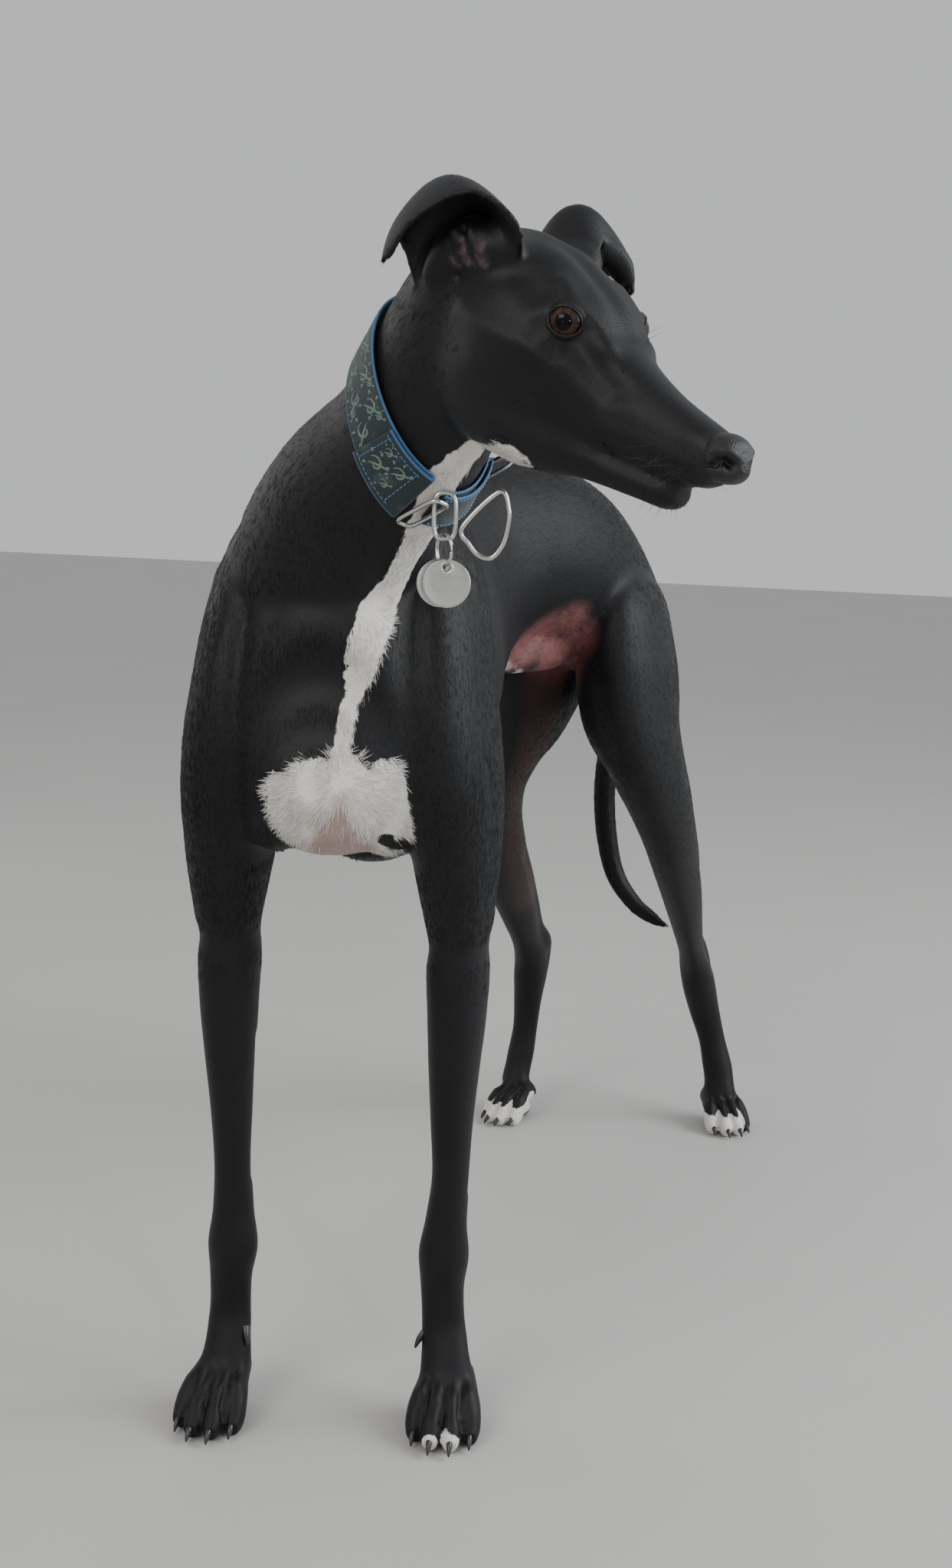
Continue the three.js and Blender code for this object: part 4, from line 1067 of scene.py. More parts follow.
def nose_material():
    """Dark grey skin with a cobbled grain; painted shade between the cobbles, and darker painted shade in the
    nostrils.
    """
    made, tree, shader = material("nose_skin", 0.46, Specular_IOR_Level=0.4)
    coords = node(tree, "ShaderNodeTexCoord").outputs["Object"]
    cells = node(tree, "ShaderNodeTexVoronoi", {"Vector": coords, "Scale": 1300.0})
    # Cobble tops, with painted shade in the grooves between them
    shade = mix(tree, ramp(tree, cells.outputs["Distance"], 0.1, 0.7), NOSE_HIGH, NOSE_GROOVE_PAINTED_SHADE)
    # Painted shade in the nostrils: darker the deeper the nose was pressed there
    depth = node(tree, "ShaderNodeAttribute", attribute_name="depth").outputs["Fac"]
    tree.links.new(mix(tree, depth, shade, NOSTRIL_PAINTED_SHADE), shader.inputs["Base Color"])
    add_bump(tree, shader, cells.outputs["Distance"], 0.0004, 0.6).invert = True
    return made


# Thread pitches and the width of the woven edge, in metres; a wave texture of scale 1 repeats every 0.314
RIB, WEFT, EDGE = 0.0011, 0.0015, 0.0011
WAVE_PITCH = 0.314
# The blue edge, darker with painted shade between its ribs, and the colour of worn patches
BLUE_DARK, BLUE_LIGHT, WORN = (0.02, 0.08, 0.2, 1), (0.06, 0.19, 0.4, 1), (0.12, 0.15, 0.15, 1)


def webbing_material(name, base, light, half_width):
    """Ribbed weave in the strap's own UV, with painted shade between the threads and a bright blue edge."""
    def threads(pitch, way):
        inputs = {"Vector": uv, "Scale": WAVE_PITCH / pitch}
        return node(tree, "ShaderNodeTexWave", inputs, bands_direction=way).outputs["Fac"]

    made, tree, shader = material(name, 0.78, Sheen_Weight=0.2)
    uv = node(tree, "ShaderNodeUVMap", uv_map="Strap").outputs[0]
    ribs = threads(RIB, "X")
    weave = maths(tree, "MULTIPLY", ribs, threads(WEFT, "Y"))
    wear = noise(tree, uv, 60.0)
    # Painted shade between the threads: the darker colour where the weave is low, the lighter on the threads'
    # tops
    colour = mix(tree, weave, base, light)
    across = maths(tree, "ABSOLUTE", node(tree, "ShaderNodeSeparateXYZ", {"Vector": uv}).outputs[1])
    # The blue edge, with painted shade between its ribs
    blue = mix(tree, ribs, BLUE_DARK, BLUE_LIGHT)
    colour = mix(tree, ramp(tree, across, half_width - EDGE, half_width - EDGE + 0.0002), colour, blue)
    colour = mix(tree, ramp(tree, wear, 0.55, 0.8, 0.0, 0.35), colour, WORN)
    tree.links.new(colour, shader.inputs["Base Color"])
    add_bump(tree, shader, weave, 0.0003, 0.6)
    return made


def metal_material(name, colour, roughness, scratch):
    """Plated metal with small scratches and slightly dull patches."""
    made, tree, shader = material(name, roughness, Metallic=1.0)
    coords = node(tree, "ShaderNodeTexCoord").outputs["Object"]
    lines = node(tree, "ShaderNodeMapping", {"Vector": coords, "Scale": (1.0, 1.0, 14.0)}).outputs[0]
    fine = noise(tree, lines, 420.0, 3.0)
    dull = noise(tree, coords, 120.0)
    tree.links.new(mix(tree, ramp(tree, dull, 0.4, 0.7), colour, tuple(0.8 * c for c in colour[:3]) + (1,)),
                   shader.inputs["Base Color"])
    tree.links.new(ramp(tree, maths(tree, "ADD", fine, dull), 0.7, 1.4, roughness * 0.7, roughness * 1.6),
                   shader.inputs["Roughness"])
    add_bump(tree, shader, fine, 0.0001, scratch)
    return made


def plain_material(name, colour, roughness, scale, spread=0.25, **settings):
    """One colour, lighter and darker by noise."""
    made, tree, shader = material(name, roughness, **settings)
    coords = node(tree, "ShaderNodeTexCoord").outputs["Object"]
    darker = tuple(c * (1 - spread) for c in colour[:3]) + (1,)
    tree.links.new(mix(tree, ramp(tree, noise(tree, coords, scale), 0.35, 0.65), darker, colour),
                   shader.inputs["Base Color"])
    return made


SKIN_COAT = coat_material("short_coat", False)
HAIR_COAT = coat_material("coat_hair", True)

# Skin
FLESH = [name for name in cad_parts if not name.startswith(
    ("eye_", "collar_", "link", "split_ring", "tag_", "lead_ring")) and name != "nose"]
skin = make_skin()
skin_points = coordinates(skin.data) * 1000 + MIDDLE
for key, values in markings(skin_points).items():
    point_data(skin.data, key, values)
finish_piece(skin, SKIN_COAT, "coat", *FLESH)

# Eyes: a ball with a clear bulge in front, and a dark bare rim along the lids
EYE_MATERIAL = eye_material()
RIM_MATERIAL = plain_material("lid_rim", (0.006, 0.005, 0.005, 1), 0.48, 900.0, 0.3, Specular_IOR_Level=0.4)


def ball_grid(rows, columns):
    """Angles from the pole and round it."""
    turns = np.linspace(0, 2 * np.pi, columns, endpoint=False)
    return np.meshgrid(np.linspace(0, np.pi, rows), turns, indexing="ij")


def make_eye(hand, name, stands_for):
    """Radius R (1 + 0.045 exp(-(a / 0.55)^4)), a being the angle from the way it looks."""
    middle, across, up, look = eye_frame(hand)
    polar, round_ = ball_grid(60, 72)
    radius = EYE_RADIUS * (1 + 0.045 * np.exp(-((polar / 0.55) ** 4)))
    sideways = np.sin(polar) * radius
    shares = sideways * np.cos(round_), sideways * np.sin(round_), np.cos(polar) * radius
    grid = middle + sum(share[..., None] * way for share, way in zip(shares, (across, up, look)))
    piece = build(name, in_metres(capped(grid)))
    ring = np.concatenate([polar.ravel(), [0.0, np.pi]])
    rays = np.concatenate([(0.5 + 0.5 * np.sin(37 * round_ + 5 * np.sin(11 * round_))).ravel(), [0.5, 0.5]])
    point_data(piece.data, "ring", ring)
    point_data(piece.data, "rays", rays)
    return finish_piece(piece, EYE_MATERIAL, "eye", stands_for)


def sweep(line, radius, sides=12, closed=False, flat=None):
    """A round wire along a line: ring points are line + radius (cos a * normal + sin a * binormal)."""
    line = np.asarray(line, float)
    if closed:
        along = np.roll(line, -1, 0) - np.roll(line, 1, 0)
    else:
        along = np.gradient(line, axis=0)
    along = unit(along)
    across = np.broadcast_to(np.asarray(flat, float), line.shape) if flat is not None else UP + 0 * line
    across = unit(across - along * (across * along).sum(1, keepdims=True))
    other = np.cross(along, across)
    angle = 2 * np.pi * np.arange(sides) / sides
    radius = np.broadcast_to(np.asarray(radius, float), (len(line),))[:, None, None]
    grid = line[:, None] + radius * (np.cos(angle)[None, :, None] * across[:, None]
                                     + np.sin(angle)[None, :, None] * other[:, None])
    if not closed:
        return capped(grid)
    quads = grid_faces(len(line) + 1, sides, True) % (len(line) * sides)
    return outward(grid.reshape(-1, 3), quads, np.zeros((0, 3), int))


make_eye(-1, "eyeball_right", "eye_right")
make_eye(1, "eyeball_left", "eye_left")


def make_lid_rim(hand, name):
    """A thin wet rim along the almond of the lids, on a ball a little larger than the eye."""
    middle, across, up, look = eye_frame(hand)
    x, y = lid_edge(np.linspace(0, 2 * np.pi, 90, endpoint=False))
    reach = EYE_RADIUS + 0.35
    depth = np.sqrt(np.maximum(reach**2 - x**2 - y**2, 9.0))
    line = middle + x[:, None] * across + y[:, None] * up + depth[:, None] * look
    finish_piece(build(name, in_metres(sweep(line, 0.8, 10, True, look))), RIM_MATERIAL, "nose_skin")


make_lid_rim(-1, "lid_rim_right")
make_lid_rim(1, "lid_rim_left")


# Nose, with comma-shaped nostrils and the groove below it
def make_nose():
    """A dense loft whose nostrils and groove are pressed in with the same strokes as the skin."""
    rows = [[*row[:2], *[size + 0.4 for size in row[2:5]], *row[5:]] for row in NOSE]
    rows += [[21, -4, 12, 11, 12, 2.4, 2.4], [27, -5, 8, 7, 8]]
    grid, _ = rings(head_rows(rows), HEAD_UP, sides=110, steps=14)
    shape = capped(grid)
    piece, points = build("nose_leather", in_metres(shape)), shape[0]
    strokes = []
    for hand in (-1, 1):
        strokes += [
            (side_path(hand, [9.0, 3.0, -1.0], [11.6, 5.4, 0.0], [13.4, 9.4, -1.6]), 3.3, -6.5),
            (side_path(hand, [13.4, 9.2, -3.2], [14.8, 14, -6.4], [15, 18.5, -8]), 1.4, -3.0),
            (side_path(hand, [14, 9, 5.4], [10, 4, 6.4], [6.5, 1.2, 4.4]), 2.6, 0.9),
        ]
    strokes.append((head_path([0, 1, -3], [0, 2, -8], [0, 6, -13]), 0.9, -1.2))
    before = points.copy()
    for stroke in strokes:
        press(points, normals(piece.data), [stroke])
        piece.data.vertices.foreach_set("co", np.ravel(metres(points)).astype(np.float32))
        piece.data.update()
    # How deep each point was pressed: it sets the painted shade in the nostrils
    depth = np.linalg.norm(points - before, axis=1)
    point_data(piece.data, "depth", ease(1.6, 3.8, depth))
    finish_piece(piece, nose_material(), "nose_skin", "nose")


make_nose()


# Claws and dewclaws, all in one piece
def make_claws():
    """Each claw is a loft kept just above the floor; a dewclaw is a short one inside the pastern."""
    shapes = []
    for paw in PAWS.values():
        for side in TOES:
            grid, _ = rings(claw_rows(paw, side), UP, sides=16, steps=5)
            grid[..., 2] = np.maximum(grid[..., 2], FLOOR + 1.3)
            shapes.append(capped(grid))
    for x, y, z, out in DEWCLAWS:
        rows = [[x - 5 * out, y + 4, z + 6, 3, 4, 4], [x - 2 * out, y, z + 1, 2.4, 3.2, 3.2],
                [x, y - 3, z - 5, 0.8, 1.1, 1.1]]
        grid, _ = rings(rows, [0, -1, 0.4], sides=14, steps=6)
        shapes.append(capped(grid))
    horn = plain_material("claw_horn", (0.03, 0.027, 0.027, 1), 0.3, 700.0, 0.45, Specular_IOR_Level=0.6)
    finish_piece(build("claws", in_metres(joined(shapes))), horn, "nose_skin")


make_claws()


# Collar: heights and turns about the neck, read off the skin itself
COLLAR_PLACE = np.array([70.8, -361.0, 766.7])
COLLAR_AIM = unit([0.863, -0.326, 0.387])
THROAT_AIM = np.array([0.285, -0.314, -0.906])
COLLAR_THROAT = unit(THROAT_AIM - COLLAR_AIM * (THROAT_AIM @ COLLAR_AIM))
COLLAR_SIDE = np.cross(COLLAR_THROAT, COLLAR_AIM)
BAND_WIDTH, BAND_THICK = 38.0, 2.2
CINCH_WIDTH, CINCH_THICK = 24.0, 1.6
BAND_FROM, BAND_TO, BAND_TAILS = 18.0, 288.0, (38, 34)
CINCH_FROM, CINCH_TO = 2.5, -56.5
WAVES = 5

# How far from the collar's axis a fold and a stitch lie, and the millimetres in a degree round the band
FOLD_REACH, STITCH_REACH = 62.0, 64.0
ROUND_SCALE = [1.08, 1]
ROUTE_STEP, FOLD_POINTS, TAIL_POINTS = 1.6, 14, 24


def round_terms(angle, height):
    """Sines and cosines of the angle up to WAVES times round, each also times the height."""
    terms = [np.ones_like(angle)]
    for k in range(1, WAVES + 1):
        terms += [np.cos(k * angle), np.sin(k * angle)]
    terms = np.stack(terms, -1)
    return np.concatenate([terms, terms * (height / 20)[..., None]], -1)


def round_collar(points):
    """Places as side, throat and height about the collar, and how far each is from its axis."""
    local = (points - COLLAR_PLACE) @ np.stack([COLLAR_SIDE, COLLAR_THROAT, COLLAR_AIM]).T
    return local, np.hypot(local[:, 0], local[:, 1])


def fit_neck():
    """Least squares of the skin's distance from the collar's axis over angle and height."""
    local, radius = round_collar(skin_points)
    near = (np.abs(local[:, 2]) < 26) & (radius < 92)
    angle, height, radius = np.arctan2(local[near, 0], local[near, 1]), local[near, 2], radius[near]
    keep = np.ones(len(radius), bool)
    for _ in range(3):
        terms = round_terms(angle, height)
        share = np.linalg.lstsq(terms[keep], radius[keep], rcond=None)[0]
        keep = np.abs(terms @ share - radius) < 6
    return share


NECK_SHARE = fit_neck()


def neck_radius(angle, height):
    """How far the skin is from the collar's axis at an angle and a height."""
    return round_terms(angle, height) @ NECK_SHARE


def on_collar(degrees, stand, height):
    """A place at an angle from the throat, so far off the skin and so far up the neck."""
    angle, stand, height = np.broadcast_arrays(np.radians(degrees), stand, height)
    nape = 0.5 - 0.5 * np.cos(angle)
    reach = neck_radius(angle, height) + stand + 2.0 * nape
    round_ = np.sin(angle)[..., None] * COLLAR_SIDE + np.cos(angle)[..., None] * COLLAR_THROAT
    return COLLAR_PLACE + reach[..., None] * round_ + height[..., None] * COLLAR_AIM


def strap_shape(degrees, stand, width, thick):
    """A flat strap along angles and stand-offs: a rounded rectangle carried along, with UVs in metres."""
    heights = np.linspace(-0.5, 0.5, 15) * (width - thick)
    curl = np.linspace(0, np.pi, 7)[1:-1]
    across = np.concatenate([heights, width / 2 - thick / 2 + thick / 2 * np.sin(curl),
                             heights[::-1], -width / 2 + thick / 2 - thick / 2 * np.sin(curl)])
    lift = np.concatenate([np.full(15, thick / 2), thick / 2 * np.cos(curl),
                           np.full(15, -thick / 2), -thick / 2 * np.cos(curl)])
    middle = on_collar(degrees, stand, 0.0)
    along = unit(np.gradient(middle, axis=0))
    out = unit(np.cross(along, COLLAR_AIM))
    base = on_collar(degrees[:, None], np.asarray(stand)[:, None], across[None])
    grid = base + out[:, None] * lift[None, :, None]
    length = np.concatenate([[0], np.cumsum(np.linalg.norm(np.diff(middle, axis=0), axis=1))])
    uv = np.stack(np.broadcast_arrays(length[:, None], across[None]), -1).reshape(-1, 2) / 1000
    shape = capped(grid)
    return shape, np.concatenate([uv, [[0, 0]], [[length[-1] / 1000, 0]]])


def uv_from_points(piece, name, uv):
    """A UV layer that gives every corner its point's own place."""
    corners = np.empty(len(piece.data.loops), np.int32)
    piece.data.loops.foreach_get("vertex_index", corners)
    layer = piece.data.uv_layers.new(name=name)
    layer.uv.foreach_set("vector", np.ravel(uv[corners]).astype(np.float32))


def folded_route(start, end, tail_start, tail_end, low, high):
    """Angles and stand-offs of a strap that lies at the low level and folds back at each end round a bar."""
    radius = (high - low) / 2
    degrees, stand = [], []

    def turn(at, sign):
        swing = np.linspace(-np.pi / 2, np.pi / 2, FOLD_POINTS)[1:-1]
        reach = np.degrees(radius * 1.25 / FOLD_REACH)
        return at + sign * reach * np.cos(swing), low + radius + radius * np.sin(swing)

    if tail_start:
        degrees.append(np.linspace(start + tail_start, start, TAIL_POINTS))
        stand.append(np.full(TAIL_POINTS, high))
        d, s = turn(start, -1)
        degrees.append(d)
        stand.append(s[::-1])
    count = int(abs(end - start) / ROUTE_STEP)
    degrees.append(np.linspace(start, end, count))
    stand.append(np.full(count, low))
    if tail_end:
        d, s = turn(end, 1)
        degrees.append(d)
        stand.append(s)
        degrees.append(np.linspace(end, end - tail_end, TAIL_POINTS))
        stand.append(np.full(TAIL_POINTS, high))
    return np.concatenate(degrees), np.concatenate(stand)


# The straps' threads: the darker colour is painted shade between them, the lighter their tops
BAND_DARK, BAND_LIGHT = (0.004, 0.012, 0.015, 1), (0.011, 0.032, 0.036, 1)
CINCH_DARK, CINCH_LIGHT = (0.003, 0.01, 0.017, 1), (0.009, 0.032, 0.05, 1)
WEBBING = webbing_material("band_webbing", BAND_DARK, BAND_LIGHT, BAND_WIDTH / 2000)
CINCH_WEBBING = webbing_material("cinch_webbing", CINCH_DARK, CINCH_LIGHT, CINCH_WIDTH / 2000)
SCROLL_THREAD = plain_material("scroll_thread", (0.17, 0.24, 0.21, 1), 0.75, 1500.0, 0.5)
PALE_THREAD = plain_material("pale_thread", (0.1, 0.28, 0.5, 1), 0.65, 1500.0, 0.3)
NICKEL = metal_material("nickel", (0.62, 0.61, 0.58, 1), 0.2, 0.25)
TAG_METAL = metal_material("tag_metal", (0.6, 0.6, 0.57, 1), 0.3, 0.6)
BAND_LOW, BAND_HIGH = 2.6, 6.2
CINCH_LOW, CINCH_HIGH = 2.4, 6.4


def make_strap(name, route, width, thick, surface, *nodes):
    """A strap along its route, with its weave's own UV map."""
    shape, uv = strap_shape(*route, width, thick)
    piece = build(name, in_metres(shape))
    uv_from_points(piece, "Strap", uv)
    return finish_piece(piece, surface, "webbing", *nodes)


band_route = folded_route(BAND_FROM, BAND_TO, *BAND_TAILS, BAND_LOW, BAND_HIGH)
make_strap("collar_strap", band_route, BAND_WIDTH, BAND_THICK, WEBBING, "collar_band")
cinch_route = folded_route(CINCH_FROM, CINCH_TO, CINCH_TO - CINCH_FROM, 0, CINCH_LOW, CINCH_HIGH)
make_strap("cinch_strap", cinch_route, CINCH_WIDTH, CINCH_THICK, CINCH_WEBBING, "collar_loop")


def ribbon(line, half, level):
    """A thin raised thread on the band's outer face: a flat diamond section along (angle, height) places."""
    line = np.asarray(line, float)
    along = unit(np.gradient(line * ROUND_SCALE, axis=0))
    side = np.stack([-along[:, 1], along[:, 0]], -1)
    half = np.broadcast_to(half, (len(line),))[:, None]
    left, right = line + side * half / ROUND_SCALE, line - side * half / ROUND_SCALE
    top = level + BAND_THICK / 2

    def place(spot, up):
        return on_collar(spot[:, 0], top + up, spot[:, 1])

    grid = np.stack([place(left, -0.05), place(line, 0.35), place(right, -0.05), place(line, -0.4)], 1)
    return capped(grid)


def scroll(centre, hand, size, level):
    """One traditional leaf scroll: a spiral, its curling stem and three small leaves."""
    turn = np.linspace(0, 1, 30)
    swing = turn * 3.6 * np.pi / 2
    curl = np.stack([np.cos(swing), hand * np.sin(swing)], -1) * (size * (1 - 0.78 * turn))[:, None]
    lines = [(centre + curl * [0.9, 1.0], 0.35 + 0.75 * np.sin(np.pi * np.clip(turn * 1.05, 0, 1)))]
    stem = np.stack([-1.3 + 1.9 * turn, hand * (1.0 - 1.7 * turn**1.5)], -1) * size
    lines.append((centre + stem, 0.3 + 0.8 * np.sin(np.pi * turn)))
    for angle in (0.4, 1.3, 2.3, -1.0):
        way = np.array([np.cos(angle), hand * np.sin(angle)])
        leaf = centre + way * size * (1.25 + 0.55 * turn[::2, None])
        lines.append((leaf, 0.15 + 1.05 * np.sin(np.pi * turn[::2])))
    return [ribbon(line, half * size / 5.2, level) for line, half in lines]


def make_scrolls():
    """Two rows of scrolls round the band, turned by turns, and four on its folded end."""
    shapes = []
    for k, angle in enumerate(np.arange(64, 246, 11.5)):
        hand = 1 if k % 2 else -1
        shapes += scroll(np.array([angle, hand * 5.6]), hand, 6.6, BAND_LOW)
        shapes += scroll(np.array([angle + 3.2, -hand * 10.8]), -hand, 3.8, BAND_LOW)
    for angle, height, size in ((32, 5, 5.2), (44, -5, 5.6), (33, -8, 3.4), (45, 8, 3.6)):
        shapes += scroll(np.array([angle, height]), 1, size, BAND_HIGH)
    finish_piece(build("collar_scrolls", in_metres(joined(shapes))), SCROLL_THREAD, "webbing")


make_scrolls()


def stitches(start, end, height, top, length, pitch, radius=0.32):
    """Small capped threads laid end to end along the strap."""
    shapes = []
    reach = np.degrees(1 / STITCH_REACH)
    for angle in np.arange(start, end, pitch * reach):
        line = np.stack([np.linspace(angle, angle + length * reach, 5), np.full(5, height)], -1)
        lift = top + radius * 0.4 * np.sin(np.linspace(0, np.pi, 5))
        places = on_collar(line[:, 0], lift, line[:, 1])
        shapes.append(sweep(places, radius * np.array([0.5, 1, 1, 1, 0.5]), 6, flat=COLLAR_AIM))
    return shapes


def make_stitches():
    """Rows of stitches along the folded ends and the cinch, and across the ends of each fold."""
    band_fold = BAND_HIGH + BAND_THICK / 2
    cinch_top = CINCH_HIGH + CINCH_THICK / 2
    shapes = []
    for edge in (-1, 1):
        shapes += stitches(24, 54, edge * 14.8, band_fold, 2.2, 3.2)
        shapes += stitches(256, 284, edge * 14.8, band_fold, 2.2, 3.2)
        shapes += stitches(-53, 0, edge * 9.8, cinch_top, 2.4, 3.2, 0.45)
    for angle in (26, 52, 258, 282):
        for height in np.arange(-14, 14, 3.4):
            heights = np.linspace(height, height + 2.3, 5)
            places = on_collar(np.full(5, float(angle)), band_fold + 0.12, heights)
            shapes.append(sweep(places, 0.32, 6, flat=COLLAR_THROAT))
    finish_piece(build("collar_stitches", in_metres(joined(shapes))), PALE_THREAD, "webbing")


make_stitches()


# Rings and what hangs from them
def box_middle(name):
    """The middle of a node's box, in the dog's millimetres."""
    low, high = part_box(name)
    return (np.array(low) + np.array(high)) / 2 * 1000 + MIDDLE


def oval(middle, across, along, half, square=2.0, count=96):
    """A closed outline: half * |cos|^(2/square) across and half * |sin|^(2/square) along."""
    angle = 2 * np.pi * (np.arange(count) + 0.5) / count
    c, s = np.cos(angle), np.sin(angle)
    x = half[0] * np.sign(c) * np.abs(c) ** (2 / square)
    y = half[1] * np.sign(s) * np.abs(s) ** (2 / square)
    return even(middle + x[:, None] * np.asarray(across) + y[:, None] * np.asarray(along), count)


def even(line, count):
    """The same closed line with its points spread evenly along it."""
    ring = np.concatenate([line, line[:1]])
    length = np.concatenate([[0], np.cumsum(np.linalg.norm(np.diff(ring, axis=0), axis=1))])
    spots = np.linspace(0, length[-1], count, endpoint=False)
    return np.stack([np.interp(spots, length, ring[:, k]) for k in range(3)], -1)


def make_wire(name, shape, stands_for):
    """One nickel-plated ring."""
    return finish_piece(build(name, in_metres(shape)), NICKEL, "nickel", stands_for)


WIRE = 1.5
for side, degrees in (("right", 10.0), ("left", -64.0)):
    angle = math.radians(degrees)
    out = math.sin(angle) * COLLAR_SIDE + math.cos(angle) * COLLAR_THROAT
    outline = oval(box_middle(f"collar_ring_{side}"), np.cross(COLLAR_AIM, out), COLLAR_AIM, [6.6, 19.0], 5)
    make_wire(f"ring_wire_{side}", sweep(outline, WIRE, 16, True, out), f"collar_ring_{side}")

HANG_PLACE = np.array([95.0, -391.0, 718.0])
HANG_YAW = math.radians(21.8)
SIDEWAYS = np.array([math.cos(HANG_YAW), math.sin(HANG_YAW), 0.0])
OUTWARDS = np.array([math.sin(HANG_YAW), -math.cos(HANG_YAW), 0.0])
SPLIT_PLACE, SPLIT_RADIUS, SPLIT_WIRE, SPLIT_TURN = (5.0, 9.0, -40.2), 10.5, 1.1, math.radians(-62)
TAG_RADIUS, TAG_THICK, TAG_HOLE, TAG_HOLE_UP = 15.5, 1.4, 2.8, 10.6
D_RING = [
    [16.4, -25.7], [20.8, -36.5], [27.9, -44], [35.4, -44.6],
    [41.6, -37.5], [45, -27], [45.7, -13.9], [39.5, -2.8],
]


def hang(s, o, u):
    """A place sideways, outwards and up from where the rings hang."""
    return HANG_PLACE + s * SIDEWAYS + o * OUTWARDS + u * UP


link_outline = oval(hang(5, 9, -19), SIDEWAYS, UP, [7, 14.5], 3.5)
make_wire("link_wire", sweep(link_outline, WIRE, 16, True, OUTWARDS), "link")


def split_coil():
    """Two turns of wire side by side: a helix whose rise is one wire a turn."""
    flat = turn_about("Z", SPLIT_TURN) @ OUTWARDS
    across = np.cross(UP, flat)
    swing = np.linspace(0.3, 4 * np.pi - 0.1, 150)
    rise = SPLIT_WIRE * 0.5 * np.tanh((swing - 2 * np.pi) * 2.2)
    line = hang(*SPLIT_PLACE) + SPLIT_RADIUS * (np.cos(swing)[:, None] * across + np.sin(swing)[:, None] * UP)
    return sweep(line + rise[:, None] * flat, SPLIT_WIRE * 0.56, 12, False, flat)


make_wire("split_coils", split_coil(), "split_ring")


def tag_shape(s, o):
    """A disc round an off-centre hole: each spoke runs from hole to rim, with a raised bead at both."""
    hole = hang(s, o, SPLIT_PLACE[2] - SPLIT_RADIUS - TAG_HOLE + SPLIT_WIRE + 1.1)
    angle = 2 * np.pi * np.arange(96) / 96
    ray = np.stack([np.cos(angle), np.sin(angle)], -1)
    down = np.array([0, -TAG_HOLE_UP])
    dot = ray @ down
    reach = dot + np.sqrt(dot**2 + TAG_RADIUS**2 - TAG_HOLE_UP**2)
    share = np.array([0, 0.06, 0.12, 0.3, 0.6, 0.85, 0.92, 0.97, 1.0])
    bead = np.array([0.7, 0.95, 0.62, 0.6, 0.6, 0.6, 0.95, 0.98, 0.7]) * TAG_THICK / 2
    share = np.concatenate([share, share[::-1]])
    height = np.concatenate([bead, -bead[::-1]])
    spread = TAG_HOLE + (reach[:, None] - TAG_HOLE) * share[None]
    flat = ray[:, None, :1] * SIDEWAYS + ray[:, None, 1:] * UP
    grid = hole + flat * spread[..., None] + height[None, :, None] * OUTWARDS
    rows, columns, _ = grid.shape
    quads = grid_faces(rows + 1, columns, True) % (rows * columns)
    return outward(grid.reshape(-1, 3), quads, np.zeros((0, 3), int))


for side, s, o in (("front", 7, 11.2), ("rear", 3, 6.8)):
    disc = build(f"tag_disc_{side}", in_metres(tag_shape(s, o)))
    finish_piece(disc, TAG_METAL, "tag_metal", f"tag_{side}")

bow = np.array([hang(s, 12, u) for s, u in D_RING])
wrapped = np.concatenate([bow[-1:], bow, bow[:2]])
bow = even(between(wrapped, np.linspace(1, len(bow) + 1, 120, endpoint=False)), 96)
make_wire("lead_bow", sweep(bow, WIRE, 16, True, OUTWARDS), "lead_ring")


# The coat: thin tufts laid along the lie of the hair, and whiskers
# For each mass the length and width of its tufts, and for each piece its masses and number of tufts
HAIR = {
    "trunk": (8.5, 0.85), "breast": (7.0, 0.75), "shoulder": (7.5, 0.8), "neck": (7.0, 0.75),
    "sheath": (6.0, 0.8), "hindleg": (7.0, 0.75), "foreleg": (5.0, 0.6), "tail": (8.0, 0.8),
    "toe": (3.2, 0.5), "pad": (2.6, 0.5), "skull": (3.6, 0.5), "jaw": (3.8, 0.5), "ear": (3.2, 0.45),
    "conch": (3.2, 0.45), "ear_fold": (3.2, 0.45),
}
COAT_PIECES = {
    "coat_trunk": (("trunk", "sheath"), 48000),
    "coat_shoulders": (("breast", "shoulder"), 46000),
    "coat_hind_legs": (("hindleg", "tail"), 46000),
    "coat_paws": (("foreleg", "toe", "pad"), 44000),
    "coat_head": (("skull", "jaw", "ear", "conch", "ear_fold", "neck"), 48000),
}
skin_normals = normals(skin.data)
TUFT_RISE, TUFT_STRAY, TUFT_PATCH = 0.09, 0.16, 0.003
LONG_HAIR, LONG_LENGTH, BIB_LENGTH, LONG_WIDTH, LONG_RISE = 12000, 8.5, 3.5, 0.55, 0.08
skin_sample = nearest_mass(skin_points)
skin_owner = SAMPLE_NAME[skin_sample]
skin.data.calc_loop_triangles()
skin_triangles = np.empty(len(skin.data.loop_triangles) * 3, np.int32)
skin.data.loop_triangles.foreach_get("vertices", skin_triangles)
skin_triangles = skin_triangles.reshape(-1, 3)


def near_eye(points):
    """The least distance to either eye's middle."""
    return np.minimum(*(np.linalg.norm(points - eye_frame(hand)[0], axis=1) for hand in (-1, 1)))


def spread_roots(count, weight):
    """Places on the skin picked with chance area * weight, with their normals and nearest sample."""
    a, b, c = (skin_points[skin_triangles[:, k]] for k in (0, 1, 2))
    area = np.linalg.norm(np.cross(b - a, c - a), axis=1) * weight[skin_triangles].mean(1)
    picked = skin_triangles[RANDOM.choice(len(area), count, p=area / area.sum())]
    u, v = RANDOM.random((2, count, 1))
    u, v = np.where(u + v > 1, 1 - u, u), np.where(u + v > 1, 1 - v, v)
    blend = [1 - u - v, u, v]
    places = sum(share * skin_points[picked[:, k]] for k, share in enumerate(blend))
    facing = unit(sum(share * skin_normals[picked[:, k]] for k, share in enumerate(blend)))
    return places, facing, skin_sample[picked[:, 0]]


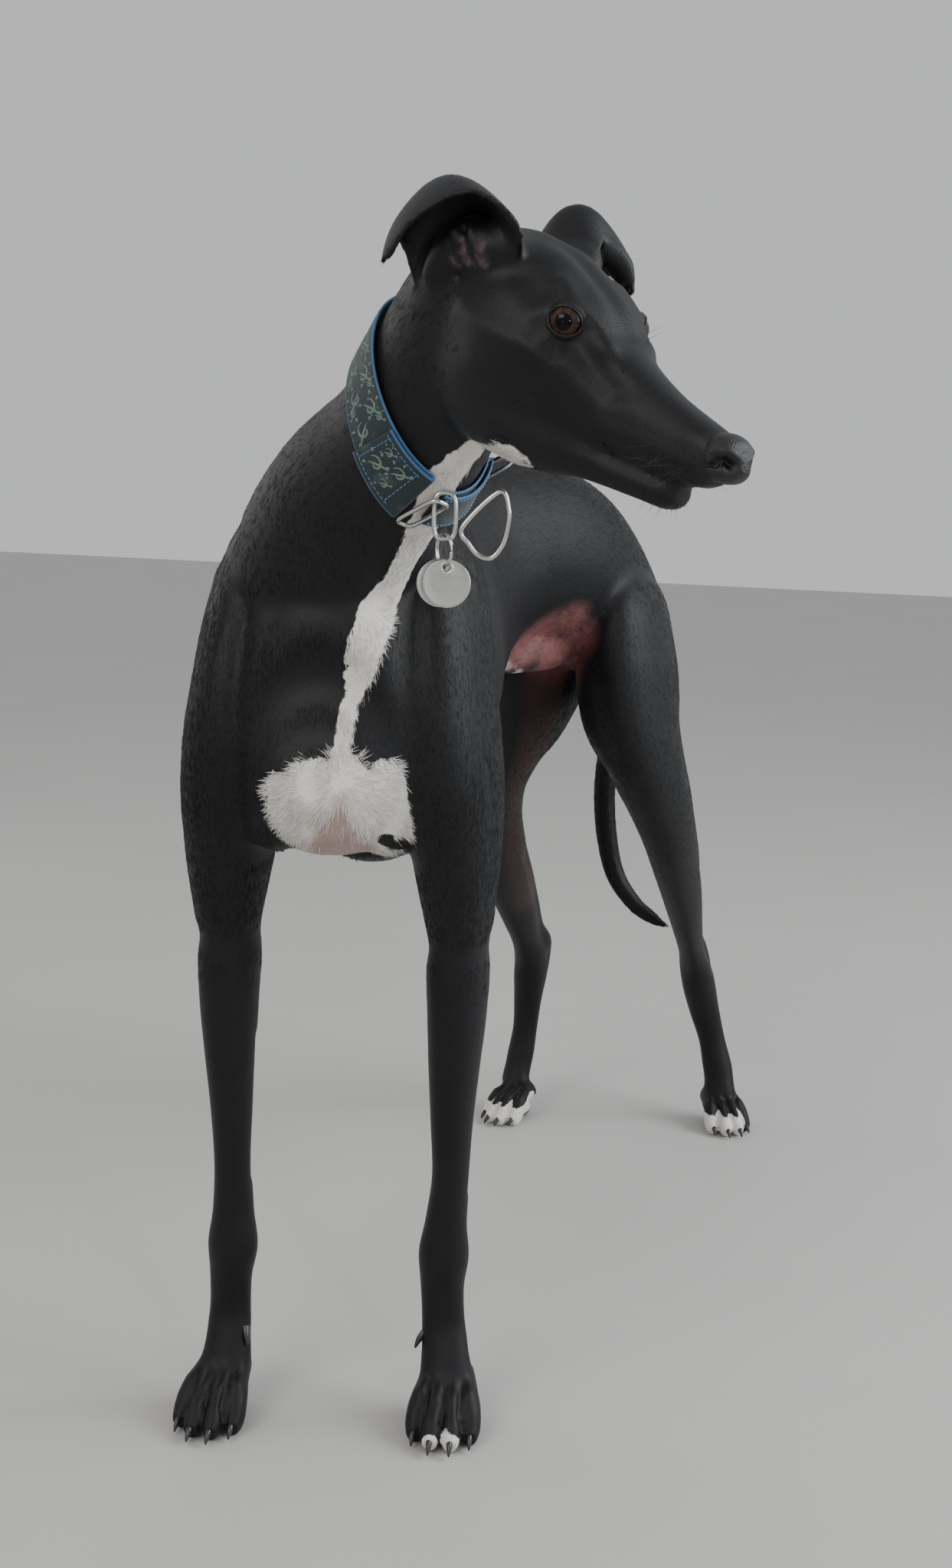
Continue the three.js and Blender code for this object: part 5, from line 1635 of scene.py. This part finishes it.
def lie_at(roots, sample):
    """Along the mass, but down on the front of the chest and outwards from the whorl over the bib."""
    chest = 1 - ease(-372, -340, roots[:, 1])
    chest = chest * ease(500, 540, roots[:, 2]) * (1 - ease(690, 740, roots[:, 2]))
    lie = SAMPLE_FLOW[sample] * (1 - chest[:, None]) - UP * chest[:, None]
    bib = painted(roots, BIB, 8)[:, None]
    return lie * (1 - bib) + unit(roots - WHORL) * bib


def tuft_shape(roots, facing, sample, length, width, lift, bends):
    """Each tuft is a three-sided spike: root + lie * t * length + out * height(t), narrowing as 1 - t^2."""
    count = len(roots)
    lie = lie_at(roots, sample) + TUFT_STRAY * RANDOM.standard_normal((count, 3))
    lie = unit(lie - facing * (lie * facing).sum(1, keepdims=True))
    side = np.cross(lie, facing)
    length = (length * (0.75 + 0.5 * RANDOM.random(count)))[:, None]
    width = (width * (0.75 + 0.5 * RANDOM.random(count)))[:, None]
    lift = (lift * (0.6 + 0.8 * RANDOM.random(count)))[:, None]
    levels = []
    for t in np.linspace(0, 1, bends + 1)[:-1]:
        spine = roots + lie * (t * length) + facing * (-0.45 + lift * length * t * (1.6 - 0.8 * t))
        half = width / 2 * (1 - t**2)
        levels += [spine - side * half, spine + side * half, spine + facing * half * 0.9]
    tip = roots + lie * length + facing * (-0.3 + lift * length * 0.8)
    points = np.stack([*levels, tip], 1)
    stride = 3 * bends + 1
    start = stride * np.arange(count)[:, None]
    quads = []
    for level in range(bends - 1):
        for k in range(3):
            n = (k + 1) % 3
            quads.append(start + 3 * level + np.array([k, n, n + 3, k + 3]))
    last = 3 * (bends - 1)
    ends = [start + last + np.array([k, (k + 1) % 3, stride - 1 - last]) for k in range(3)]
    ends.append(start + np.array([0, 2, 1]))
    quads = np.concatenate(quads) if quads else np.zeros((0, 4), int)
    patch = np.tile([[-0.4, -0.4], [0.4, -0.4], [0.0, 0.2]], (bends, 1))
    patch = np.concatenate([patch, [[0.0, 0.5]]]) * TUFT_PATCH
    uv = SAMPLE_TILE[sample][:, None] + patch[None]
    return outward(points.reshape(-1, 3), quads, np.concatenate(ends)), uv.reshape(-1, 2), stride


def make_tufts(name, roots, facing, sample, length, width, lift, bends=1):
    """A piece of tufts that shade as the skin below them does, with the skin's markings."""
    shape, uv, stride = tuft_shape(roots, facing, sample, length, width, lift, bends)
    piece = build(name, in_metres(shape))
    shade = unit(facing + TUFT_STRAY * RANDOM.standard_normal(facing.shape))
    piece.data.normals_split_custom_set_from_vertices(np.repeat(shade, stride, 0).astype(np.float32))
    uv_from_points(piece, "OFBake", uv)
    for key, values in markings(roots).items():
        point_data(piece.data, key, np.repeat(values, stride))
    return finish_piece(piece, HAIR_COAT, "coat")


def clear_of_edges(points):
    """0 where no tuft may start: on the lids, at the nose, under the paws and beneath the collar."""
    local, reach = round_collar(points)
    collar = (np.abs(local[:, 2]) < BAND_WIDTH / 2 + 1) & (reach < 95)
    snout = np.linalg.norm(points - head_point([0, 8, -2]), axis=1) < 17
    return ((near_eye(points) > EYE_RADIUS + 5) & ~collar & ~snout & (points[:, 2] > FLOOR + 5)).astype(float)


skin_marks = markings(skin_points)
open_coat = clear_of_edges(skin_points) * (1 - 0.985 * np.minimum(skin_marks["bare"] * 1.1, 1))
for name, (owners, count) in COAT_PIECES.items():
    density = np.array([1 / (HAIR[owner][0] * HAIR[owner][1]) for owner in skin_owner])
    weight = np.where(np.isin(skin_owner, owners), density, 0) * open_coat
    roots, facing, sample = spread_roots(count, weight)
    sizes = np.array([HAIR[owner] for owner in SAMPLE_NAME[sample]])
    low = 0.55 + 0.45 * ease(120, 420, roots[:, 2])
    make_tufts(name, roots, facing, sample, sizes[:, 0] * low, sizes[:, 1] * (0.5 + 0.5 * low), TUFT_RISE)


def make_long_hair():
    """Longer hair with three bends on the white chest, the back of the thighs and the tail."""
    ridge = ((skin_owner == "hindleg") & (skin_points[:, 2] > 330)) * ease(0.45, 0.9, skin_normals[:, 1])
    front = skin_marks["white"] * (skin_points[:, 2] > 120)
    weight = (1.5 * front + 0.8 * ridge + 0.9 * (skin_owner == "tail")) * open_coat
    roots, facing, sample = spread_roots(LONG_HAIR, weight)
    length = LONG_LENGTH + BIB_LENGTH * painted(roots, BIB, 8)
    return make_tufts("coat_long", roots, facing, sample, length, LONG_WIDTH, LONG_RISE, 3)


make_long_hair()


# Single hairs under the chin, over the eye and on the cheek: where each grows, its way and its length
WHISKERS = [
    ([6, 40, -46], [0.35, -0.5, -1], 9), ([10, 44, -44], [0.45, -0.4, -1], 8),
    ([3, 36, -42], [0.2, -0.8, -0.8], 8), ([9, 48, -50], [0.35, -0.2, -1], 11),
    ([24, 112, 40], [0.7, -0.5, 0.8], 17), ([21, 108, 38], [0.5, -0.6, 0.8], 15),
    ([40, 128, -20], [1, 0.1, -0.4], 15),
]


def make_whiskers():
    """Stiff thin hairs: each a line root + way * t * length that droops by t^2, thinning to its tip."""
    rows = [[19, back, level] for back in (26, 34, 42, 50) for level in (-10, -15, -20)]
    spots = [(place, [1.0, -0.15, -0.25], 24) for place in rows] + WHISKERS
    shapes = []
    t = np.linspace(0, 1, 10)[:, None]
    for hand, (place, way, length) in ((hand, spot) for hand in (-1, 1) for spot in spots):
        place, way = np.array(place) * [hand, 1, 1], np.array(way) * [hand, 1, 1]
        wanted = head_point(place + RANDOM.normal(0, 1.0, 3))
        root = skin_points[np.argmin(((skin_points - wanted) ** 2).sum(1))]
        way = unit(head_aim(way + RANDOM.normal(0, 0.15, 3)))
        reach = length * RANDOM.uniform(0.8, 1.2)
        line = root + way * (t * reach - 1.0) + head_aim([0, 0.35, -0.2]) * (t**2 * reach * 0.5)
        shapes.append(sweep(line, 0.15 * (1 - 0.85 * t[:, 0]), 5, flat=head_aim([0.1, 0.2, 1])))
    pale = plain_material("whisker", (0.05, 0.048, 0.046, 1), 0.45, 200.0, 0.6)
    finish_piece(build("whiskers", in_metres(joined(shapes))), pale, "coat")


make_whiskers()

# Floor, lights and camera
FLOOR_HALF = 9.0
corners = np.array([[-1, -1, 0], [1, -1, 0], [1, 1, 0], [-1, 1, 0]]) * FLOOR_HALF
floor = build("floor", (corners - [0, 0, 0.0002], np.array([[0, 1, 2, 3]]), np.zeros((0, 3), int)))
floor.data.materials.append(plain_material("pale_floor", (0.5, 0.49, 0.47, 1), 0.6, 3.0, 0.03))


def soft_light(name, place, aim, size, power, colour):
    """A square lamp at a place, facing another."""
    lamp = bpy.data.lights.new(name, "AREA")
    lamp.shape = "RECTANGLE"
    lamp.size, lamp.size_y = size
    lamp.energy = power
    lamp.color = colour
    made = bpy.data.objects.new(name, lamp)
    made.location = place
    made.rotation_euler = (Vector(aim) - Vector(place)).to_track_quat("-Z", "Y").to_euler()
    bpy.context.scene.collection.objects.link(made)


soft_light("window", (2.2, 0.5, 1.7), (0, 0, 0.5), (1.8, 1.8), 70, (0.93, 0.97, 1.0))
soft_light("front_fill", (-0.6, -2.6, 2.2), (0, -0.2, 0.5), (1.6, 1.2), 34, (1.0, 0.97, 0.93))
soft_light("left_fill", (-2.4, 0.4, 1.5), (0, 0, 0.5), (1.4, 1.4), 7, (1.0, 0.96, 0.92))
soft_light("catchlight", (1.15, -1.5, 0.86), (0.1, -0.43, 0.82), (0.14, 0.14), 2.5, (1, 1, 1))

world = bpy.data.worlds.new("studio")
world.use_nodes = True
world.node_tree.nodes["Background"].inputs["Color"].default_value = (0.82, 0.83, 0.85, 1)
world.node_tree.nodes["Background"].inputs["Strength"].default_value = 0.75
bpy.context.scene.world = world

level_way = np.array([-math.sin(LENS_TURN), math.cos(LENS_TURN), 0.0])
right = np.array([math.cos(LENS_TURN), math.sin(LENS_TURN), 0.0])
ahead = level_way * math.cos(LENS_DIP) - UP * math.sin(LENS_DIP)
down = -level_way * math.sin(LENS_DIP) - UP * math.cos(LENS_DIP)
across = right * math.cos(LENS_TILT) - down * math.sin(LENS_TILT)
below = right * math.sin(LENS_TILT) + down * math.cos(LENS_TILT)
lens = bpy.data.cameras.new("camera")
lens.lens = LENS_LENGTH
lens.sensor_width = 36.0
camera = bpy.data.objects.new("camera", lens)
pose = np.eye(4)
pose[:3, :3] = np.stack([across, -below, -ahead], 1)
pose[:3, 3] = metres(LENS_PLACE)
camera.matrix_world = Matrix(pose.tolist())
bpy.context.scene.collection.objects.link(camera)
bpy.context.scene.camera = camera
